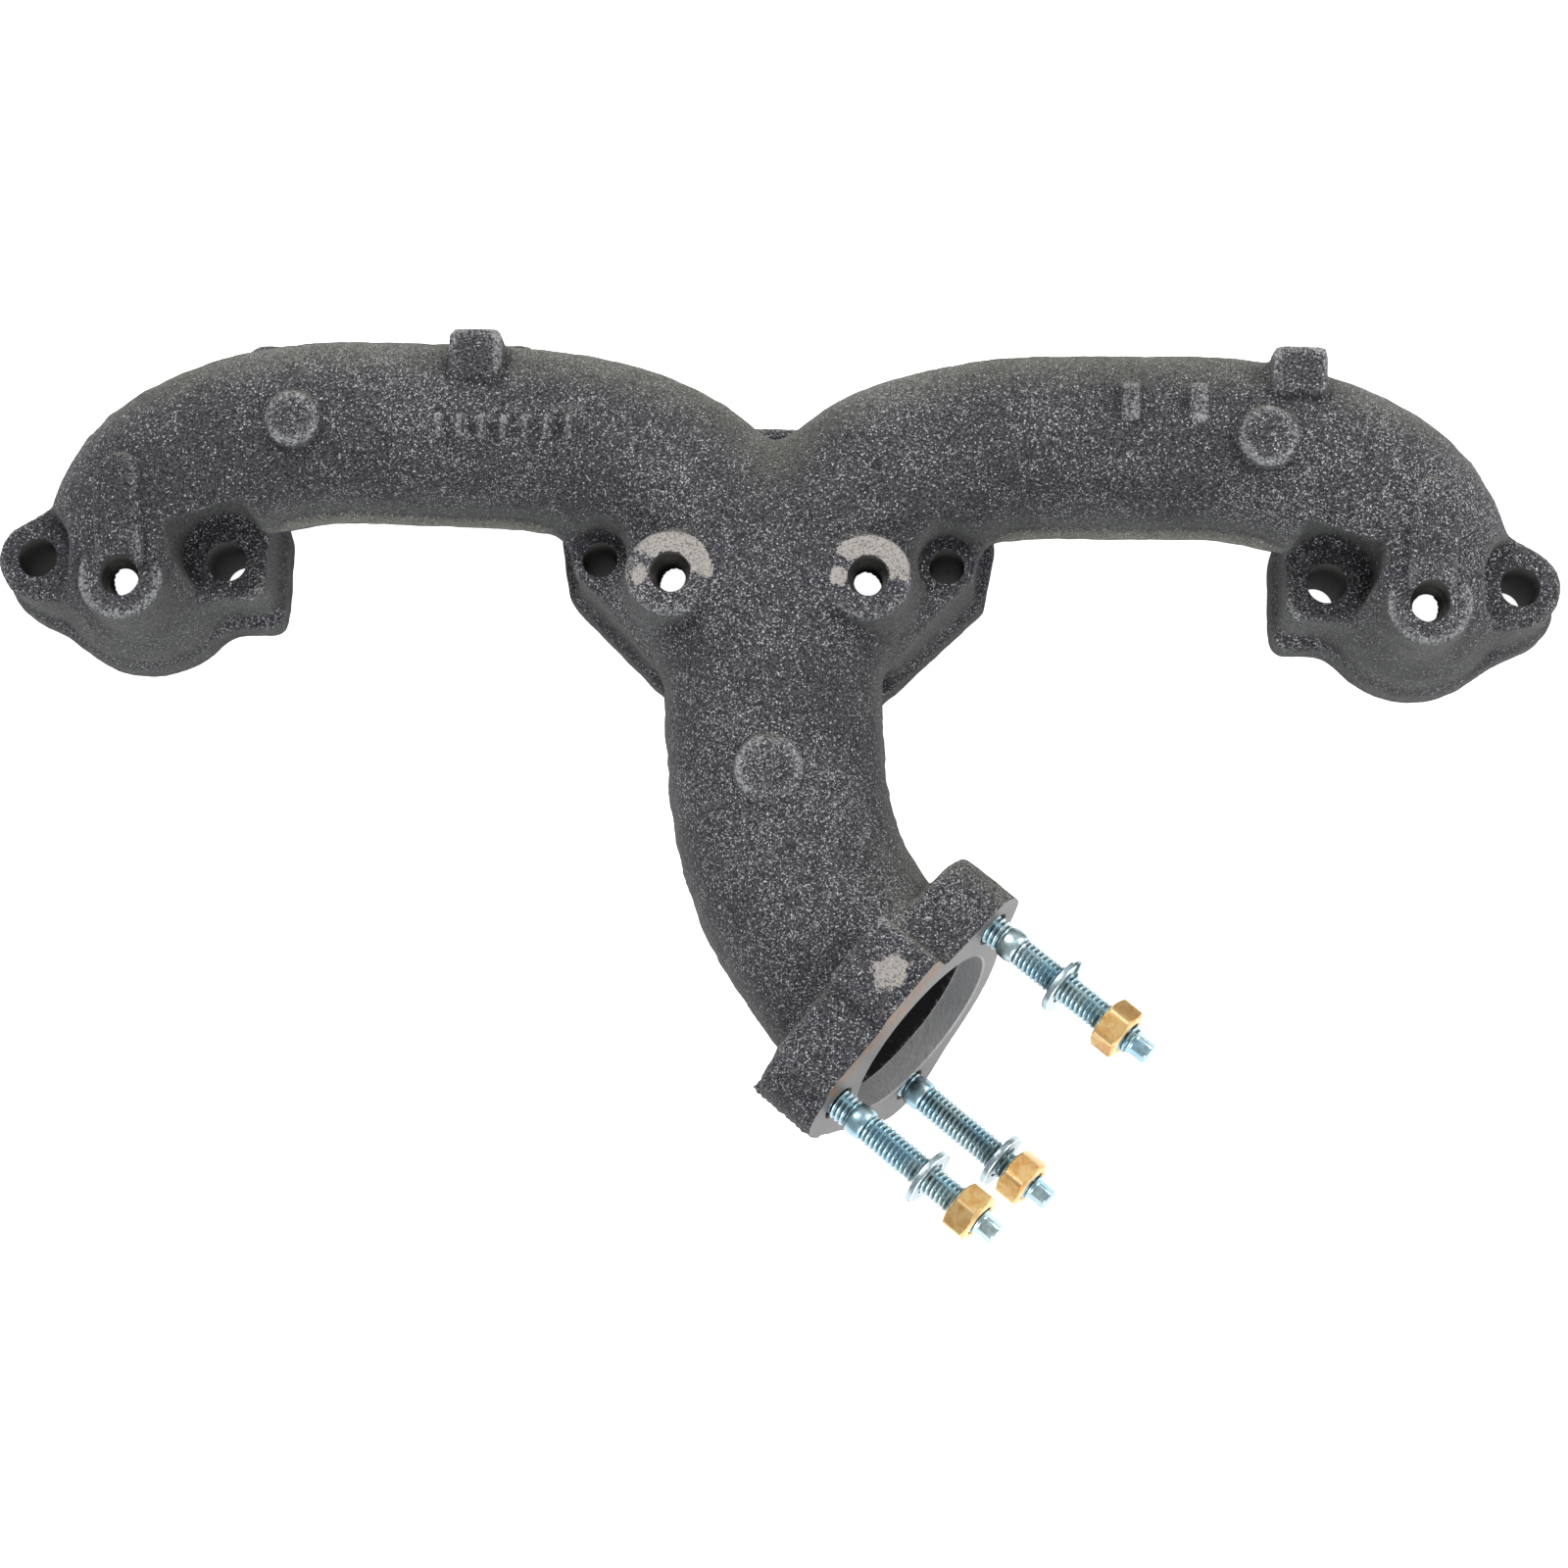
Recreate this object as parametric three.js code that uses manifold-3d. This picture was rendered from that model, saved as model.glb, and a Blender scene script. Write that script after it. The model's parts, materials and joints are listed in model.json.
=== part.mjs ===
// Exhaust manifold for one bank of a V8: a four-port grey iron casting whose two arms
// meet over the centre ports and drop into a down pipe with an angled three-stud outlet.
// Millimetres. The gasket faces lie on z = 0 and face -Z, +X runs along the cylinder head,
// -Y is the outlet side, and the origin is on the bolt line between the two centre ports.
import * as THREE from 'three';
import { mergeVertices } from 'three/addons/utils/BufferGeometryUtils.js';
import Module from 'manifold-3d';

const wasm = await Module();
wasm.setup();

// Driving dimensions.
const boreSpacing = 111.76;          // cylinder bore pitch of the head
const portInset = 27.1;              // port centre to the centre of its cylinder
const centrePortX = boreSpacing / 2 - portInset;
const outerPortX = boreSpacing * 1.5 + portInset;
const centreBoltX = 51.7;
const outerBoltHalfPitch = 28.8;     // each outer port has a bolt on both sides
const innerBoltX = outerPortX - outerBoltHalfPitch;
const earBoltX = outerPortX + outerBoltHalfPitch;

const outerBoltR = 6;                // radii of the bolt holes
const centreBoltR = 5.3;
const outerSeatZ = 35.5;             // height of the outer bolt seats
const centreSeatZ = 47.5;
const seatR = { inner: 12.4, ear: 10.8, centre: 9 };     // room for the bolt heads
const flangeT = 10.5;                // port flange thickness
const trimDepth = 4;                 // stock left under the gasket plane until it is cut flat

const armR = 26.6;                   // outside radius of an arm
const wallT = 5.6;                   // casting wall
const armZ = 48.5;                   // arm centreline above the gasket plane
const armY = 37.6;
const pipeR = 31.8;                  // outside radius of the down pipe
const portW = 31;                    // port opening, along the head and across it
const portH = 35;
const portCornerR = 9;

const outlet = { x: 46.7, y: -140.4, z: 60, heading: -39, rise: 10.5 };
const outletBoreR = 27.5;
const outletBoreDepth = 13;
const outletPlateT = 20.5;
const studCircle = { r: 36.4, v: 3.8 };

const studR = 4.6;                   // 3/8 inch stud
const collarR = 5;
const studEndChamfer = 0.8;
const studClearance = 0.3;
const studSunk = 15;                 // length held in the outlet flange
const studCollar = [5, 10];          // smooth collar, measured out from the outlet face
const studThreadEnd = 51.6;
const studLength = 57.6;
const driveTipR = 3.25;
const nutAcrossFlats = 14.29;
const nutHeight = 8.4;
const nutChamfer = 1.9;              // off each corner of the outer end
const lockWasher = { inner: 5.3, outer: 8.65, thick: 2.4, gap: 1.3 };

// Each stud: its angle on the circle, how far it stands out from the nominal, and where
// its lock washer and nut sit along it.
const fasteners = [
  { angle: 18, shift: 0, washerAt: 26, nutAt: 41.3, ear: 11.2 },
  { angle: 150.5, shift: 0.9, washerAt: 33, nutAt: 44, ear: 12.2 },
  { angle: 251.5, shift: -3.6, washerAt: 35.4, nutAt: 39.1, ear: 14 },
];

const below = -9;                    // cutting tools start under the gasket plane and end
const above = 99;                    // over the casting
const roundSides = 20;
const smallSides = 14;
const rad = THREE.MathUtils.degToRad;

// Solids.
function solid(geometry, matrix) {
  let g = geometry.clone();
  g.deleteAttribute('normal');
  g.deleteAttribute('uv');
  if (matrix) g.applyMatrix4(matrix);
  g = mergeVertices(g, 1e-4);
  const vertProperties = new Float32Array(g.attributes.position.array);
  const triVerts = new Uint32Array(g.index.array);
  return new wasm.Manifold(new wasm.Mesh({ numProp: 3, vertProperties, triVerts }));
}

function joined(solids) {
  return solids.reduce((whole, next) => whole.add(next));
}

function toGeometry(manifold) {
  const m = manifold.getMesh();
  const g = new THREE.BufferGeometry();
  g.setAttribute('position', new THREE.BufferAttribute(new Float32Array(m.vertProperties), 3));
  g.setIndex(new THREE.BufferAttribute(new Uint32Array(m.triVerts), 1));
  g.computeVertexNormals();
  return g;
}

// A flat outline raised from one height to another.
function raised(shape, from, to, matrix) {
  const g = new THREE.ExtrudeGeometry(shape, {
    depth: to - from, bevelEnabled: false, curveSegments: 8,
  });
  g.translate(0, 0, from);
  return solid(g, matrix);
}

function disc(x, y, r, from, to, sides = smallSides) {
  const g = new THREE.CylinderGeometry(r, r, to - from, sides);
  g.rotateX(Math.PI / 2);
  g.translate(x, y, (from + to) / 2);
  return solid(g);
}

function block(x0, x1, y0, y1, z0, z1) {
  const g = new THREE.BoxGeometry(x1 - x0, y1 - y0, z1 - z0);
  g.translate((x0 + x1) / 2, (y0 + y1) / 2, (z0 + z1) / 2);
  return solid(g);
}

// A round tube swept along a smooth curve.
function swept(points, r, steps, sides = roundSides) {
  const path = new THREE.CatmullRomCurve3(points.map((p) => new THREE.Vector3(...p)));
  const ring = new THREE.Shape();
  ring.absarc(0, 0, r, 0, Math.PI * 2);
  const section = new THREE.Shape(ring.getSpacedPoints(sides).slice(0, sides));
  return solid(new THREE.ExtrudeGeometry(section, {
    steps, extrudePath: path, bevelEnabled: false,
  }));
}

// The convex outline round a set of circles, each [x, y, r].
function hullOutline(circles, sides = 20) {
  const pts = circles.flatMap(([x, y, r]) => Array.from({ length: sides }, (_, i) => {
    const a = (i / sides) * Math.PI * 2;
    return [x + r * Math.cos(a), y + r * Math.sin(a)];
  }));
  pts.sort((p, q) => p[0] - q[0] || p[1] - q[1]);
  const turn = (o, a, b) => (a[0] - o[0]) * (b[1] - o[1]) - (a[1] - o[1]) * (b[0] - o[0]);
  const chain = (list) => {
    const out = [];
    for (const p of list) {
      while (out.length > 1 && turn(out.at(-2), out.at(-1), p) <= 1e-3) out.pop();
      out.push(p);
    }
    return out.slice(0, -1);
  };
  const ring = [...chain(pts), ...chain([...pts].reverse())];
  return new THREE.Shape(ring.map((p) => new THREE.Vector2(...p)));
}

function roundedRect(x0, x1, y0, y1, r) {
  return hullOutline([[x0 + r, y0 + r, r], [x1 - r, y0 + r, r],
    [x1 - r, y1 - r, r], [x0 + r, y1 - r, r]], 8);
}

const mirrored = (side, points) => points.map(([x, y, z]) => [side * x, y, z]);

// The outlet's own frame: u and v across the face, n out of it.
const outletN = new THREE.Vector3(
  Math.cos(rad(outlet.heading)) * Math.cos(rad(outlet.rise)),
  Math.sin(rad(outlet.heading)) * Math.cos(rad(outlet.rise)),
  Math.sin(rad(outlet.rise)),
);
const outletU = new THREE.Vector3(-Math.sin(rad(outlet.heading)), Math.cos(rad(outlet.heading)), 0);
const outletV = new THREE.Vector3().crossVectors(outletN, outletU);
const outletPlace = new THREE.Matrix4()
  .makeBasis(outletU, outletV, outletN)
  .setPosition(outlet.x, outlet.y, outlet.z);
const outletPoint = (back) => [
  outlet.x - outletN.x * back, outlet.y - outletN.y * back, outlet.z - outletN.z * back,
];
const studAt = (angle) => [
  studCircle.r * Math.cos(rad(angle)), studCircle.v + studCircle.r * Math.sin(rad(angle)),
];

// Routes of the gas passages.
const armRoute = [
  [outerPortX, 0, -trimDepth],
  [outerPortX, 0.5, 16],
  [outerPortX - 2, 8, 34],
  [outerPortX - 13, 21.5, 45],
  [outerPortX - 34, 32, armZ],
  [outerPortX - 60, armY, armZ],
  [105, armY, armZ],
  [72, 36.5, armZ],
  [48, 30.5, armZ],
  [31, 21.5, armZ],
  [18, 8, armZ],
  [9, -12, armZ],
];
const pipeRoute = [
  [0, 0, armZ],
  [0.5, -18, armZ],
  [1.5, -45, armZ],
  [4, -72, armZ + 1],
  [11, -96, armZ + 3],
  [24, -117, armZ + 6.5],
  outletPoint(12),
  outletPoint(-6),
];

// The casting's outside.
function outerPort(side) {
  const port = side * outerPortX;
  const ear = side * earBoltX;
  const inner = side * innerBoltX;
  const plate = hullOutline([[ear, 0, 14], [port, 0, 28.6], [inner, 0, 14]]);
  return joined([
    swept(mirrored(side, armRoute), armR, 20),
    raised(plate, -trimDepth, flangeT),
    disc(port, 0, 28, -trimDepth, 30, roundSides),
    disc(ear, 0, 12.6, -trimDepth, outerSeatZ),
    raised(roundedRect(inner - 12.6, inner + 12.6, -12, 24, 4), -trimDepth, outerSeatZ),
    raised(roundedRect(Math.min(port, ear), Math.max(port, ear), -11, 12, 3), -trimDepth, outerSeatZ),
  ]);
}

function centrePorts() {
  const shoulder = [[62, 14], [60, -3], [36, -27], [-36, -27], [-60, -3], [-62, 14], [-48, 30], [48, 30]];
  const lip = [[68, 14], [64.5, -3], [38.5, -28], [31, -37], [-31, -37], [-38.5, -28], [-64.5, -3],
    [-68, 14], [-66, 30], [66, 30]];
  const outline = (points) => new THREE.Shape(points.map((p) => new THREE.Vector2(...p)));
  return joined([
    raised(outline(lip), -trimDepth, flangeT),
    raised(outline(shoulder), 0, centreSeatZ),
    raised(roundedRect(-30, 30, 16, 45.5, 5), 15, 36),       // web between the two arms
    swept(pipeRoute, pipeR, 16),
  ]);
}

// Air injection bosses: low ones on the outer elbows with a key-shaped stem, tall ones
// over the centre ports.
const airBoss = {
  outerX: 193, outerY: -10.5, outerTop: 59.5, r: 13, outerFoot: 34,
  stemW: 14.4, stemTop: 24, stemTilt: 15, stemDepth: 9,
  innerX: 28.6, innerY: -10.8, innerTop: 81, innerR: 13.2, innerFoot: 50,
  holeR: 5.9, tapR: 4.15, outerMouth: 12, innerMouth: 17,
};

function airBosses(side) {
  const { outerX, outerY, outerTop, r, outerFoot, stemW, stemTop, stemTilt, stemDepth } = airBoss;
  const { innerX, innerY, innerTop, innerR, innerFoot } = airBoss;
  const tilt = rad(stemTilt);
  const stemLength = (stemTop - outerY) / Math.cos(tilt);
  const stem = new THREE.Matrix4()
    .makeRotationX(tilt)
    .setPosition(side * outerX, outerY, outerTop);
  return joined([
    disc(side * outerX, outerY, r, outerFoot, outerTop),
    raised(roundedRect(-stemW / 2, stemW / 2, -2, stemLength, stemW / 2 - 0.4), -stemDepth, 0, stem),
    disc(side * innerX, innerY, innerR, innerFoot, innerTop),
  ]);
}

// Cast pads that carry no machining. Discs are x, y, r; blocks are x0, x1, y0, y1 and the
// radius of their corners.
const castPads = {
  armDiscs: [[-141, 34, 8.3], [144, 34, 9.1]],
  pipeDisc: [1.5, -68, 10],
  liftingLugs: [[-96, -80, 46, 63, 2.5], [145, 161.5, 44, 62, 2.5]],
  backPads: [[-163, -139, 40, 67.5, 5], [-92, -73, 44, 69, 4], [139, 163, 40, 66, 5]],
  ribs: [[101, 107, 37.5, 50.5], [121, 127, 37.5, 50.5]],
  plate: [-104, -55, 26, 39, 3],
  bars: { count: 7, x: -100, pitch: 6.4, width: 2.6, y0: 28.5, y1: 36.5 },
  padRise: 2.4,                      // heights above the skin of the arm or the pipe
  pipeDiscRise: 2.6,
  plateRise: 0.6,
  barRise: 1.7,
  foot: 60,                          // where the discs, ribs and plate start, inside the metal
  ribFoot: 64,
  lugZ: [30, 72],
  backZ: [22, 40],
};

function pads() {
  const { armDiscs, pipeDisc, liftingLugs, backPads, ribs, plate, bars, foot, ribFoot } = castPads;
  const armTop = armZ + armR;
  const padTop = armTop + castPads.padRise;
  const barPlaces = Array.from({ length: bars.count }, (_, i) => bars.x + i * bars.pitch);
  return joined([
    ...armDiscs.map((pad) => disc(...pad, foot, padTop)),
    disc(...pipeDisc, foot, armZ + pipeR + castPads.pipeDiscRise, roundSides),
    ...liftingLugs.map((lug) => raised(roundedRect(...lug), ...castPads.lugZ)),
    ...backPads.map((pad) => raised(roundedRect(...pad), ...castPads.backZ)),
    ...ribs.map((rib) => block(...rib, ribFoot, padTop)),
    raised(roundedRect(...plate), ribFoot, armTop + castPads.plateRise),
    ...barPlaces.map((x) => block(x, x + bars.width, bars.y0, bars.y1, ribFoot, armTop + castPads.barRise)),
  ]);
}

function outletFlange() {
  const [s1, s2, s3] = fasteners.map((f) => [...studAt(f.angle), f.ear]);
  const core = [0, 0, 32.2];
  return joined([
    raised(hullOutline([s1, s2, core]), -outletPlateT, 0, outletPlace),
    raised(hullOutline([s2, s3, core]), -outletPlateT, 0, outletPlace),
    raised(roundedRect(-34, 16, 15, 38.5, 3), -outletPlateT, 0, outletPlace),
    raised(roundedRect(-8, 16, 20, 41, 2), -outletPlateT - 1, 0, outletPlace),
  ]);
}

// What is cored, drilled and machined away.
function passages() {
  const bore = new THREE.CylinderGeometry(outletBoreR, outletBoreR, outletBoreDepth * 2, 28);
  bore.rotateX(Math.PI / 2);
  const portOutline = (x) => roundedRect(x - portW / 2, x + portW / 2, -portH / 2, portH / 2, portCornerR);
  const cuts = [
    swept(pipeRoute, pipeR - wallT - 1, 14, smallSides),
    solid(bore, outletPlace),
  ];
  for (const side of [-1, 1]) {
    const port = side * outerPortX;
    const centre = side * centrePortX;
    cuts.push(
      swept(mirrored(side, armRoute), armR - wallT, 18, smallSides),
      raised(portOutline(port), below, 15),
      raised(portOutline(centre), below, armZ - 4),
    );
  }
  const bolts = [-1, 1].flatMap((side) => [
    disc(side * innerBoltX, 1, 17.5, 29, above),      // floor of metal under the sunk seat
    disc(side * innerBoltX, 0, outerBoltR + wallT, below, above),
    disc(side * earBoltX, 0, outerBoltR + wallT, below, above),
    disc(side * centreBoltX, 0, centreBoltR + 3.5, below, above),
  ]);
  return joined(cuts).subtract(joined(bolts));
}

function drilling(side) {
  const seat = side * innerBoltX;
  const { outerX, outerY, outerTop, outerMouth, innerX, innerY, innerTop, innerMouth } = airBoss;
  const { holeR, tapR } = airBoss;
  return joined([
    disc(side * earBoltX, 0, outerBoltR, below, above),
    disc(seat, 0, outerBoltR, below, above),
    disc(side * centreBoltX, 0, centreBoltR, below, above),
    disc(seat, 1, seatR.inner, outerSeatZ, above, roundSides),
    disc(side * earBoltX, 0, seatR.ear, outerSeatZ, above, roundSides),
    disc(side * centreBoltX, 0, seatR.centre, centreSeatZ, above),
    disc(side * outerX, outerY, holeR, outerTop - outerMouth, above),
    disc(side * outerX, outerY, tapR, 20, above),
    disc(side * innerX, innerY, holeR, innerTop - innerMouth, above),
    disc(side * innerX, innerY, tapR, armZ, above),
  ]);
}

function studHoles() {
  const r = studR + studClearance;
  return joined(fasteners.map(({ angle, shift }) => {
    const depth = studSunk - shift + 0.6;            // a little air past the stud's end
    const g = new THREE.CylinderGeometry(r, r, depth * 2, smallSides);
    g.rotateX(Math.PI / 2);
    const [u, v] = studAt(angle);
    g.translate(u, v, 0);
    return solid(g, outletPlace);
  }));
}

function castingGeometry() {
  const outside = joined([outerPort(-1), outerPort(1), centrePorts(),
    airBosses(-1), airBosses(1), pads(), outletFlange()]);
  const beyondOutlet = new THREE.BoxGeometry(150, 150, 60);
  beyondOutlet.translate(0, 0, 30);
  return toGeometry(outside
    .subtract(block(-400, 400, -300, 300, -60, 0))
    .subtract(solid(beyondOutlet, outletPlace))
    .subtract(passages())
    .subtract(drilling(-1))
    .subtract(drilling(1))
    .subtract(studHoles()));
}

// Fasteners, each made along +Z from the outlet face.
function studGeometry() {
  const [collarFrom, collarTo] = studCollar;
  const profile = [
    [0, -studSunk], [studR - studEndChamfer, -studSunk], [studR, -studSunk + studEndChamfer],
    [studR, collarFrom], [collarR, collarFrom + studEndChamfer],
    [collarR, collarTo - studEndChamfer], [studR, collarTo],
    [studR, studThreadEnd - studEndChamfer], [driveTipR, studThreadEnd],
    [driveTipR, studLength - 0.5], [driveTipR - 0.5, studLength], [0, studLength],
  ];
  const g = new THREE.LatheGeometry(profile.map(([r, z]) => new THREE.Vector2(r, z)), smallSides);
  g.rotateX(Math.PI / 2);
  return g;
}

function nutGeometry() {
  const corner = nutAcrossFlats / Math.sqrt(3);
  const hex = new THREE.CylinderGeometry(corner, corner, nutHeight, 6);
  hex.rotateX(Math.PI / 2);
  hex.translate(0, 0, nutHeight / 2);
  const chamfer = new THREE.CylinderGeometry(corner - nutChamfer, corner + 2.9, nutHeight * 2, 24);
  chamfer.rotateX(Math.PI / 2);
  chamfer.translate(0, 0, nutHeight / 2 + 3.2);      // only the cone's tip meets the corners
  const tapped = disc(0, 0, studR + studClearance, -1, nutHeight + 1);
  return toGeometry(solid(hex).intersect(solid(chamfer)).subtract(tapped));
}

function lockWasherGeometry() {
  const { inner, outer, thick, gap } = lockWasher;
  const ring = disc(0, 0, outer, -thick / 2, thick / 2, 24)
    .subtract(disc(0, 0, inner, -thick, thick, 24));
  return toGeometry(ring.subtract(block(0, outer + 1, -gap / 2, gap / 2, -thick, thick)));
}

// The assembly.
const iron = new THREE.MeshStandardMaterial({ color: 0x5a5a5e, roughness: 0.85, metalness: 0.35 });
const zinc = new THREE.MeshStandardMaterial({ color: 0xa9c0ca, roughness: 0.3, metalness: 1 });
const silver = new THREE.MeshStandardMaterial({ color: 0xb9c3c6, roughness: 0.35, metalness: 1 });
const brass = new THREE.MeshStandardMaterial({ color: 0xc9a460, roughness: 0.35, metalness: 1 });

const group = new THREE.Group();

function place(name, geometry, material, parent) {
  const mesh = new THREE.Mesh(geometry, material.clone());
  mesh.name = name;
  parent.add(mesh);
  return mesh;
}

place('manifold_casting', castingGeometry(), iron, group);

const outletHardware = new THREE.Group();
outletHardware.applyMatrix4(outletPlace);
group.add(outletHardware);
const studShape = studGeometry();
const washerShape = lockWasherGeometry();
const nutShape = nutGeometry();
fasteners.forEach(({ angle, shift, washerAt, nutAt }, i) => {
  const [u, v] = studAt(angle);
  const number = i + 1;
  const stud = place(`outlet_stud_${number}`, studShape, zinc, outletHardware);
  stud.position.set(u, v, shift);
  const washer = place(`lock_washer_${number}`, washerShape, silver, outletHardware);
  washer.position.set(u, v, washerAt);
  washer.rotation.z = rad(40 + 130 * i);
  const nut = place(`outlet_nut_${number}`, nutShape, brass, outletHardware);
  nut.position.set(u, v, nutAt);
  nut.rotation.z = rad(12 + 17 * i);
});

export default group;
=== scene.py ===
import json
import math

import bmesh
import bpy
import numpy as np
import openvdb
from mathutils import Matrix, Vector, noise


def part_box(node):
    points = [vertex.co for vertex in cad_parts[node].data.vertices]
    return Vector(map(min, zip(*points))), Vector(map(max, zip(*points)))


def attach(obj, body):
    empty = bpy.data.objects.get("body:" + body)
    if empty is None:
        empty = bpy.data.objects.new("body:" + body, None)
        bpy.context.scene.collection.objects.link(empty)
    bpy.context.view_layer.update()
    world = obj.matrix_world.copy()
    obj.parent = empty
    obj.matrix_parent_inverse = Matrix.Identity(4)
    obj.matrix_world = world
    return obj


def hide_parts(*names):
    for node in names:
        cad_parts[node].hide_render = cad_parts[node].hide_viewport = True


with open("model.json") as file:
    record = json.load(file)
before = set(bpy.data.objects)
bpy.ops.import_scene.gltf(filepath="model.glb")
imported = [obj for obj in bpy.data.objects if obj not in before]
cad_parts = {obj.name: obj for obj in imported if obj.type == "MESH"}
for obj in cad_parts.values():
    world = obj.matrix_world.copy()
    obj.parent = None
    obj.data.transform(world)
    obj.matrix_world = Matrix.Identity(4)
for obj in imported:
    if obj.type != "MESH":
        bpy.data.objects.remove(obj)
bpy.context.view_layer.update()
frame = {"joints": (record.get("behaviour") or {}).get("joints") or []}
mm = 0.001
print("manifold: frame loaded")


# Places, in millimetres, on the frame's axes
# The part lies on its gasket faces (z = 0), ports down, outlet towards -Y.
head = {
    "boreSpacing": 111.76,
    "portInset": 27.1,       # port centre to the centre of its cylinder
    "outerBoltPitch": 28.8,  # from an outer port to the bolts beside it
    "centreBoltX": 51.7,
    "outerSeatZ": 35.5,
    "centreSeatZ": 47.5,
    "outerBoltR": 6.0,
    "centreBoltR": 5.3,
}
centrePortX = head["boreSpacing"] / 2 - head["portInset"]
outerPortX = head["boreSpacing"] * 1.5 + head["portInset"]
innerBoltX = outerPortX - head["outerBoltPitch"]
earBoltX = outerPortX + head["outerBoltPitch"]

# The fasteners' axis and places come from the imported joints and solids.
outletAxis = Vector(next(j for j in frame["joints"] if j["type"] == "hinge")["axis"]).normalized()
outlet = {
    "centre": Vector((46.7, -140.4, 60.0)),
    "boreR": 27.5,
    "boreDepth": 8.0,
    "thickness": 20.5,
    "studCircle": 36.4,
    "studRise": 3.8,
    "studAngles": (18.0, 150.5, 251.5),
    "earR": (11.2, 12.2, 13.6),
}
outletU = Vector((-outletAxis.y, outletAxis.x, 0)).normalized()
outletV = outletAxis.cross(outletU)


def studPlace(i):
    angle = math.radians(outlet["studAngles"][i])
    r = outlet["studCircle"]
    return r * math.cos(angle), outlet["studRise"] + r * math.sin(angle)


def outletMatrix(u=0.0, v=0.0, out=0.0):
    # metres, with Z out of the outlet face
    place = outlet["centre"] + outletU * u + outletV * v + outletAxis * out
    turn = Matrix((outletU, outletV, outletAxis)).transposed().to_4x4()
    return Matrix.Translation(place * mm) @ turn


# Camera, floor and lights
print("manifold: camera and studio")
studio = {
    "eye": (36.38, -234.84, 1059.89),     # mm
    "tilt": (9.434, 1.752, 1.236),        # degrees
    "lens": 80.0,
    "floorColour": (0.80, 0.80, 0.80),
    "floorGlow": 0.42,                   # what the light table under the part throws on it
    "floorSeen": 1.0,                    # how bright it looks through the open holes
    "worldLight": 0.5,
    "backdrop": 0.92,
    "areas": (
        # place mm, size mm, watts, colour
        ((-480, 560, 900), 620, 17.0, (1.0, 1.0, 1.0)),
        ((760, 300, 620), 500, 9.0, (1.0, 0.99, 0.97)),
        ((120, -880, 480), 600, 8.0, (0.96, 0.98, 1.0)),
    ),
}


def newObject(name, mesh, *materials):
    made = bpy.data.objects.new(name, mesh)
    bpy.context.scene.collection.objects.link(made)
    for material in materials:
        mesh.materials.append(material)
    return made


def newMesh(name, points, faces):
    mesh = bpy.data.meshes.new(name)
    mesh.from_pydata(points, [], faces)
    mesh.update()
    return mesh


def makeCamera():
    data = bpy.data.cameras.new("camera")
    data.lens = studio["lens"]
    data.sensor_width = 36.0
    data.clip_start = 0.01
    camera = newObject("camera", data)
    camera.location = Vector(studio["eye"]) * mm
    camera.rotation_mode = "ZYX"
    camera.rotation_euler = [math.radians(a) for a in studio["tilt"]]
    bpy.context.scene.camera = camera


# A strength that differs between what the camera sees and what falls on the part.
def seenOrCast(tree, cast, seen):
    camera = tree.nodes.new("ShaderNodeLightPath").outputs["Is Camera Ray"]
    strength = tree.nodes.new("ShaderNodeMapRange")
    setInputs(tree, strength, {"Value": camera, "To Min": cast, "To Max": seen})
    return strength.outputs["Result"]


def makeLights():
    for i, (place, size, watts, colour) in enumerate(studio["areas"]):
        data = bpy.data.lights.new(f"softbox{i + 1}", "AREA")
        data.size = size * mm
        data.energy = watts
        data.color = colour
        lamp = newObject(data.name, data)
        lamp.location = Vector(place) * mm
        aim = Vector((0, -40, 40)) * mm - lamp.location
        lamp.rotation_euler = aim.to_track_quat("-Z", "Y").to_euler()
    world = bpy.data.worlds.new("studioWorld")
    bpy.context.scene.world = world
    world.use_nodes = True
    tree = world.node_tree
    # what the camera sees behind the floor is paler than what lights the part
    glow = seenOrCast(tree, studio["worldLight"], studio["backdrop"])
    setInputs(tree, tree.nodes["Background"], {"Strength": glow, "Color": (1, 1, 1, 1)})
    bpy.context.scene.view_settings.view_transform = "Standard"


def setInputs(tree, node, values):
    for name, value in values.items():
        if isinstance(value, bpy.types.NodeSocket):
            tree.links.new(value, node.inputs[name])
        else:
            node.inputs[name].default_value = value


def makeFloor():
    half = 4.0
    corners = [(-half, -half, 0), (half, -half, 0), (half, half, 0), (-half, half, 0)]
    paper = bpy.data.materials.new("studioPaper")
    paper.use_nodes = True
    tree = paper.node_tree
    shader = tree.nodes["Principled BSDF"]
    setInputs(tree, shader, {"Base Color": (*studio["floorColour"], 1), "Roughness": 0.9,
                             "Specular IOR Level": 0.1, "Emission Color": (1, 1, 1, 1)})
    glow = seenOrCast(tree, studio["floorGlow"], studio["floorSeen"])
    setInputs(tree, shader, {"Emission Strength": glow})
    floor = newObject("floor", newMesh("floor", corners, [(0, 1, 2, 3)]), paper)
    floor.location.z = -0.0004


makeCamera()
makeLights()
makeFloor()


# Distance fields: how the casting's round, filleted shape is made
# A field holds, at each point of a grid, the distance to the surface in mm: negative in metal.
def makeGrid(low, high, step):
    axes = [np.arange(a, b + step, step, dtype=np.float32) for a, b in zip(low, high)]
    values = np.full([len(a) for a in axes], 30.0, dtype=np.float32)
    return {"axes": axes, "step": step, "values": values}


def window(grid, low, high):
    cut = []
    for axis, a, b in zip(grid["axes"], low, high):
        first = max(int((a - axis[0]) / grid["step"]), 0)
        last = min(int((b - axis[0]) / grid["step"]) + 2, len(axis))
        cut.append(slice(first, last))
    points = np.meshgrid(*(axis[c] for axis, c in zip(grid["axes"], cut)), indexing="ij", sparse=True)
    return tuple(cut), points


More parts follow.
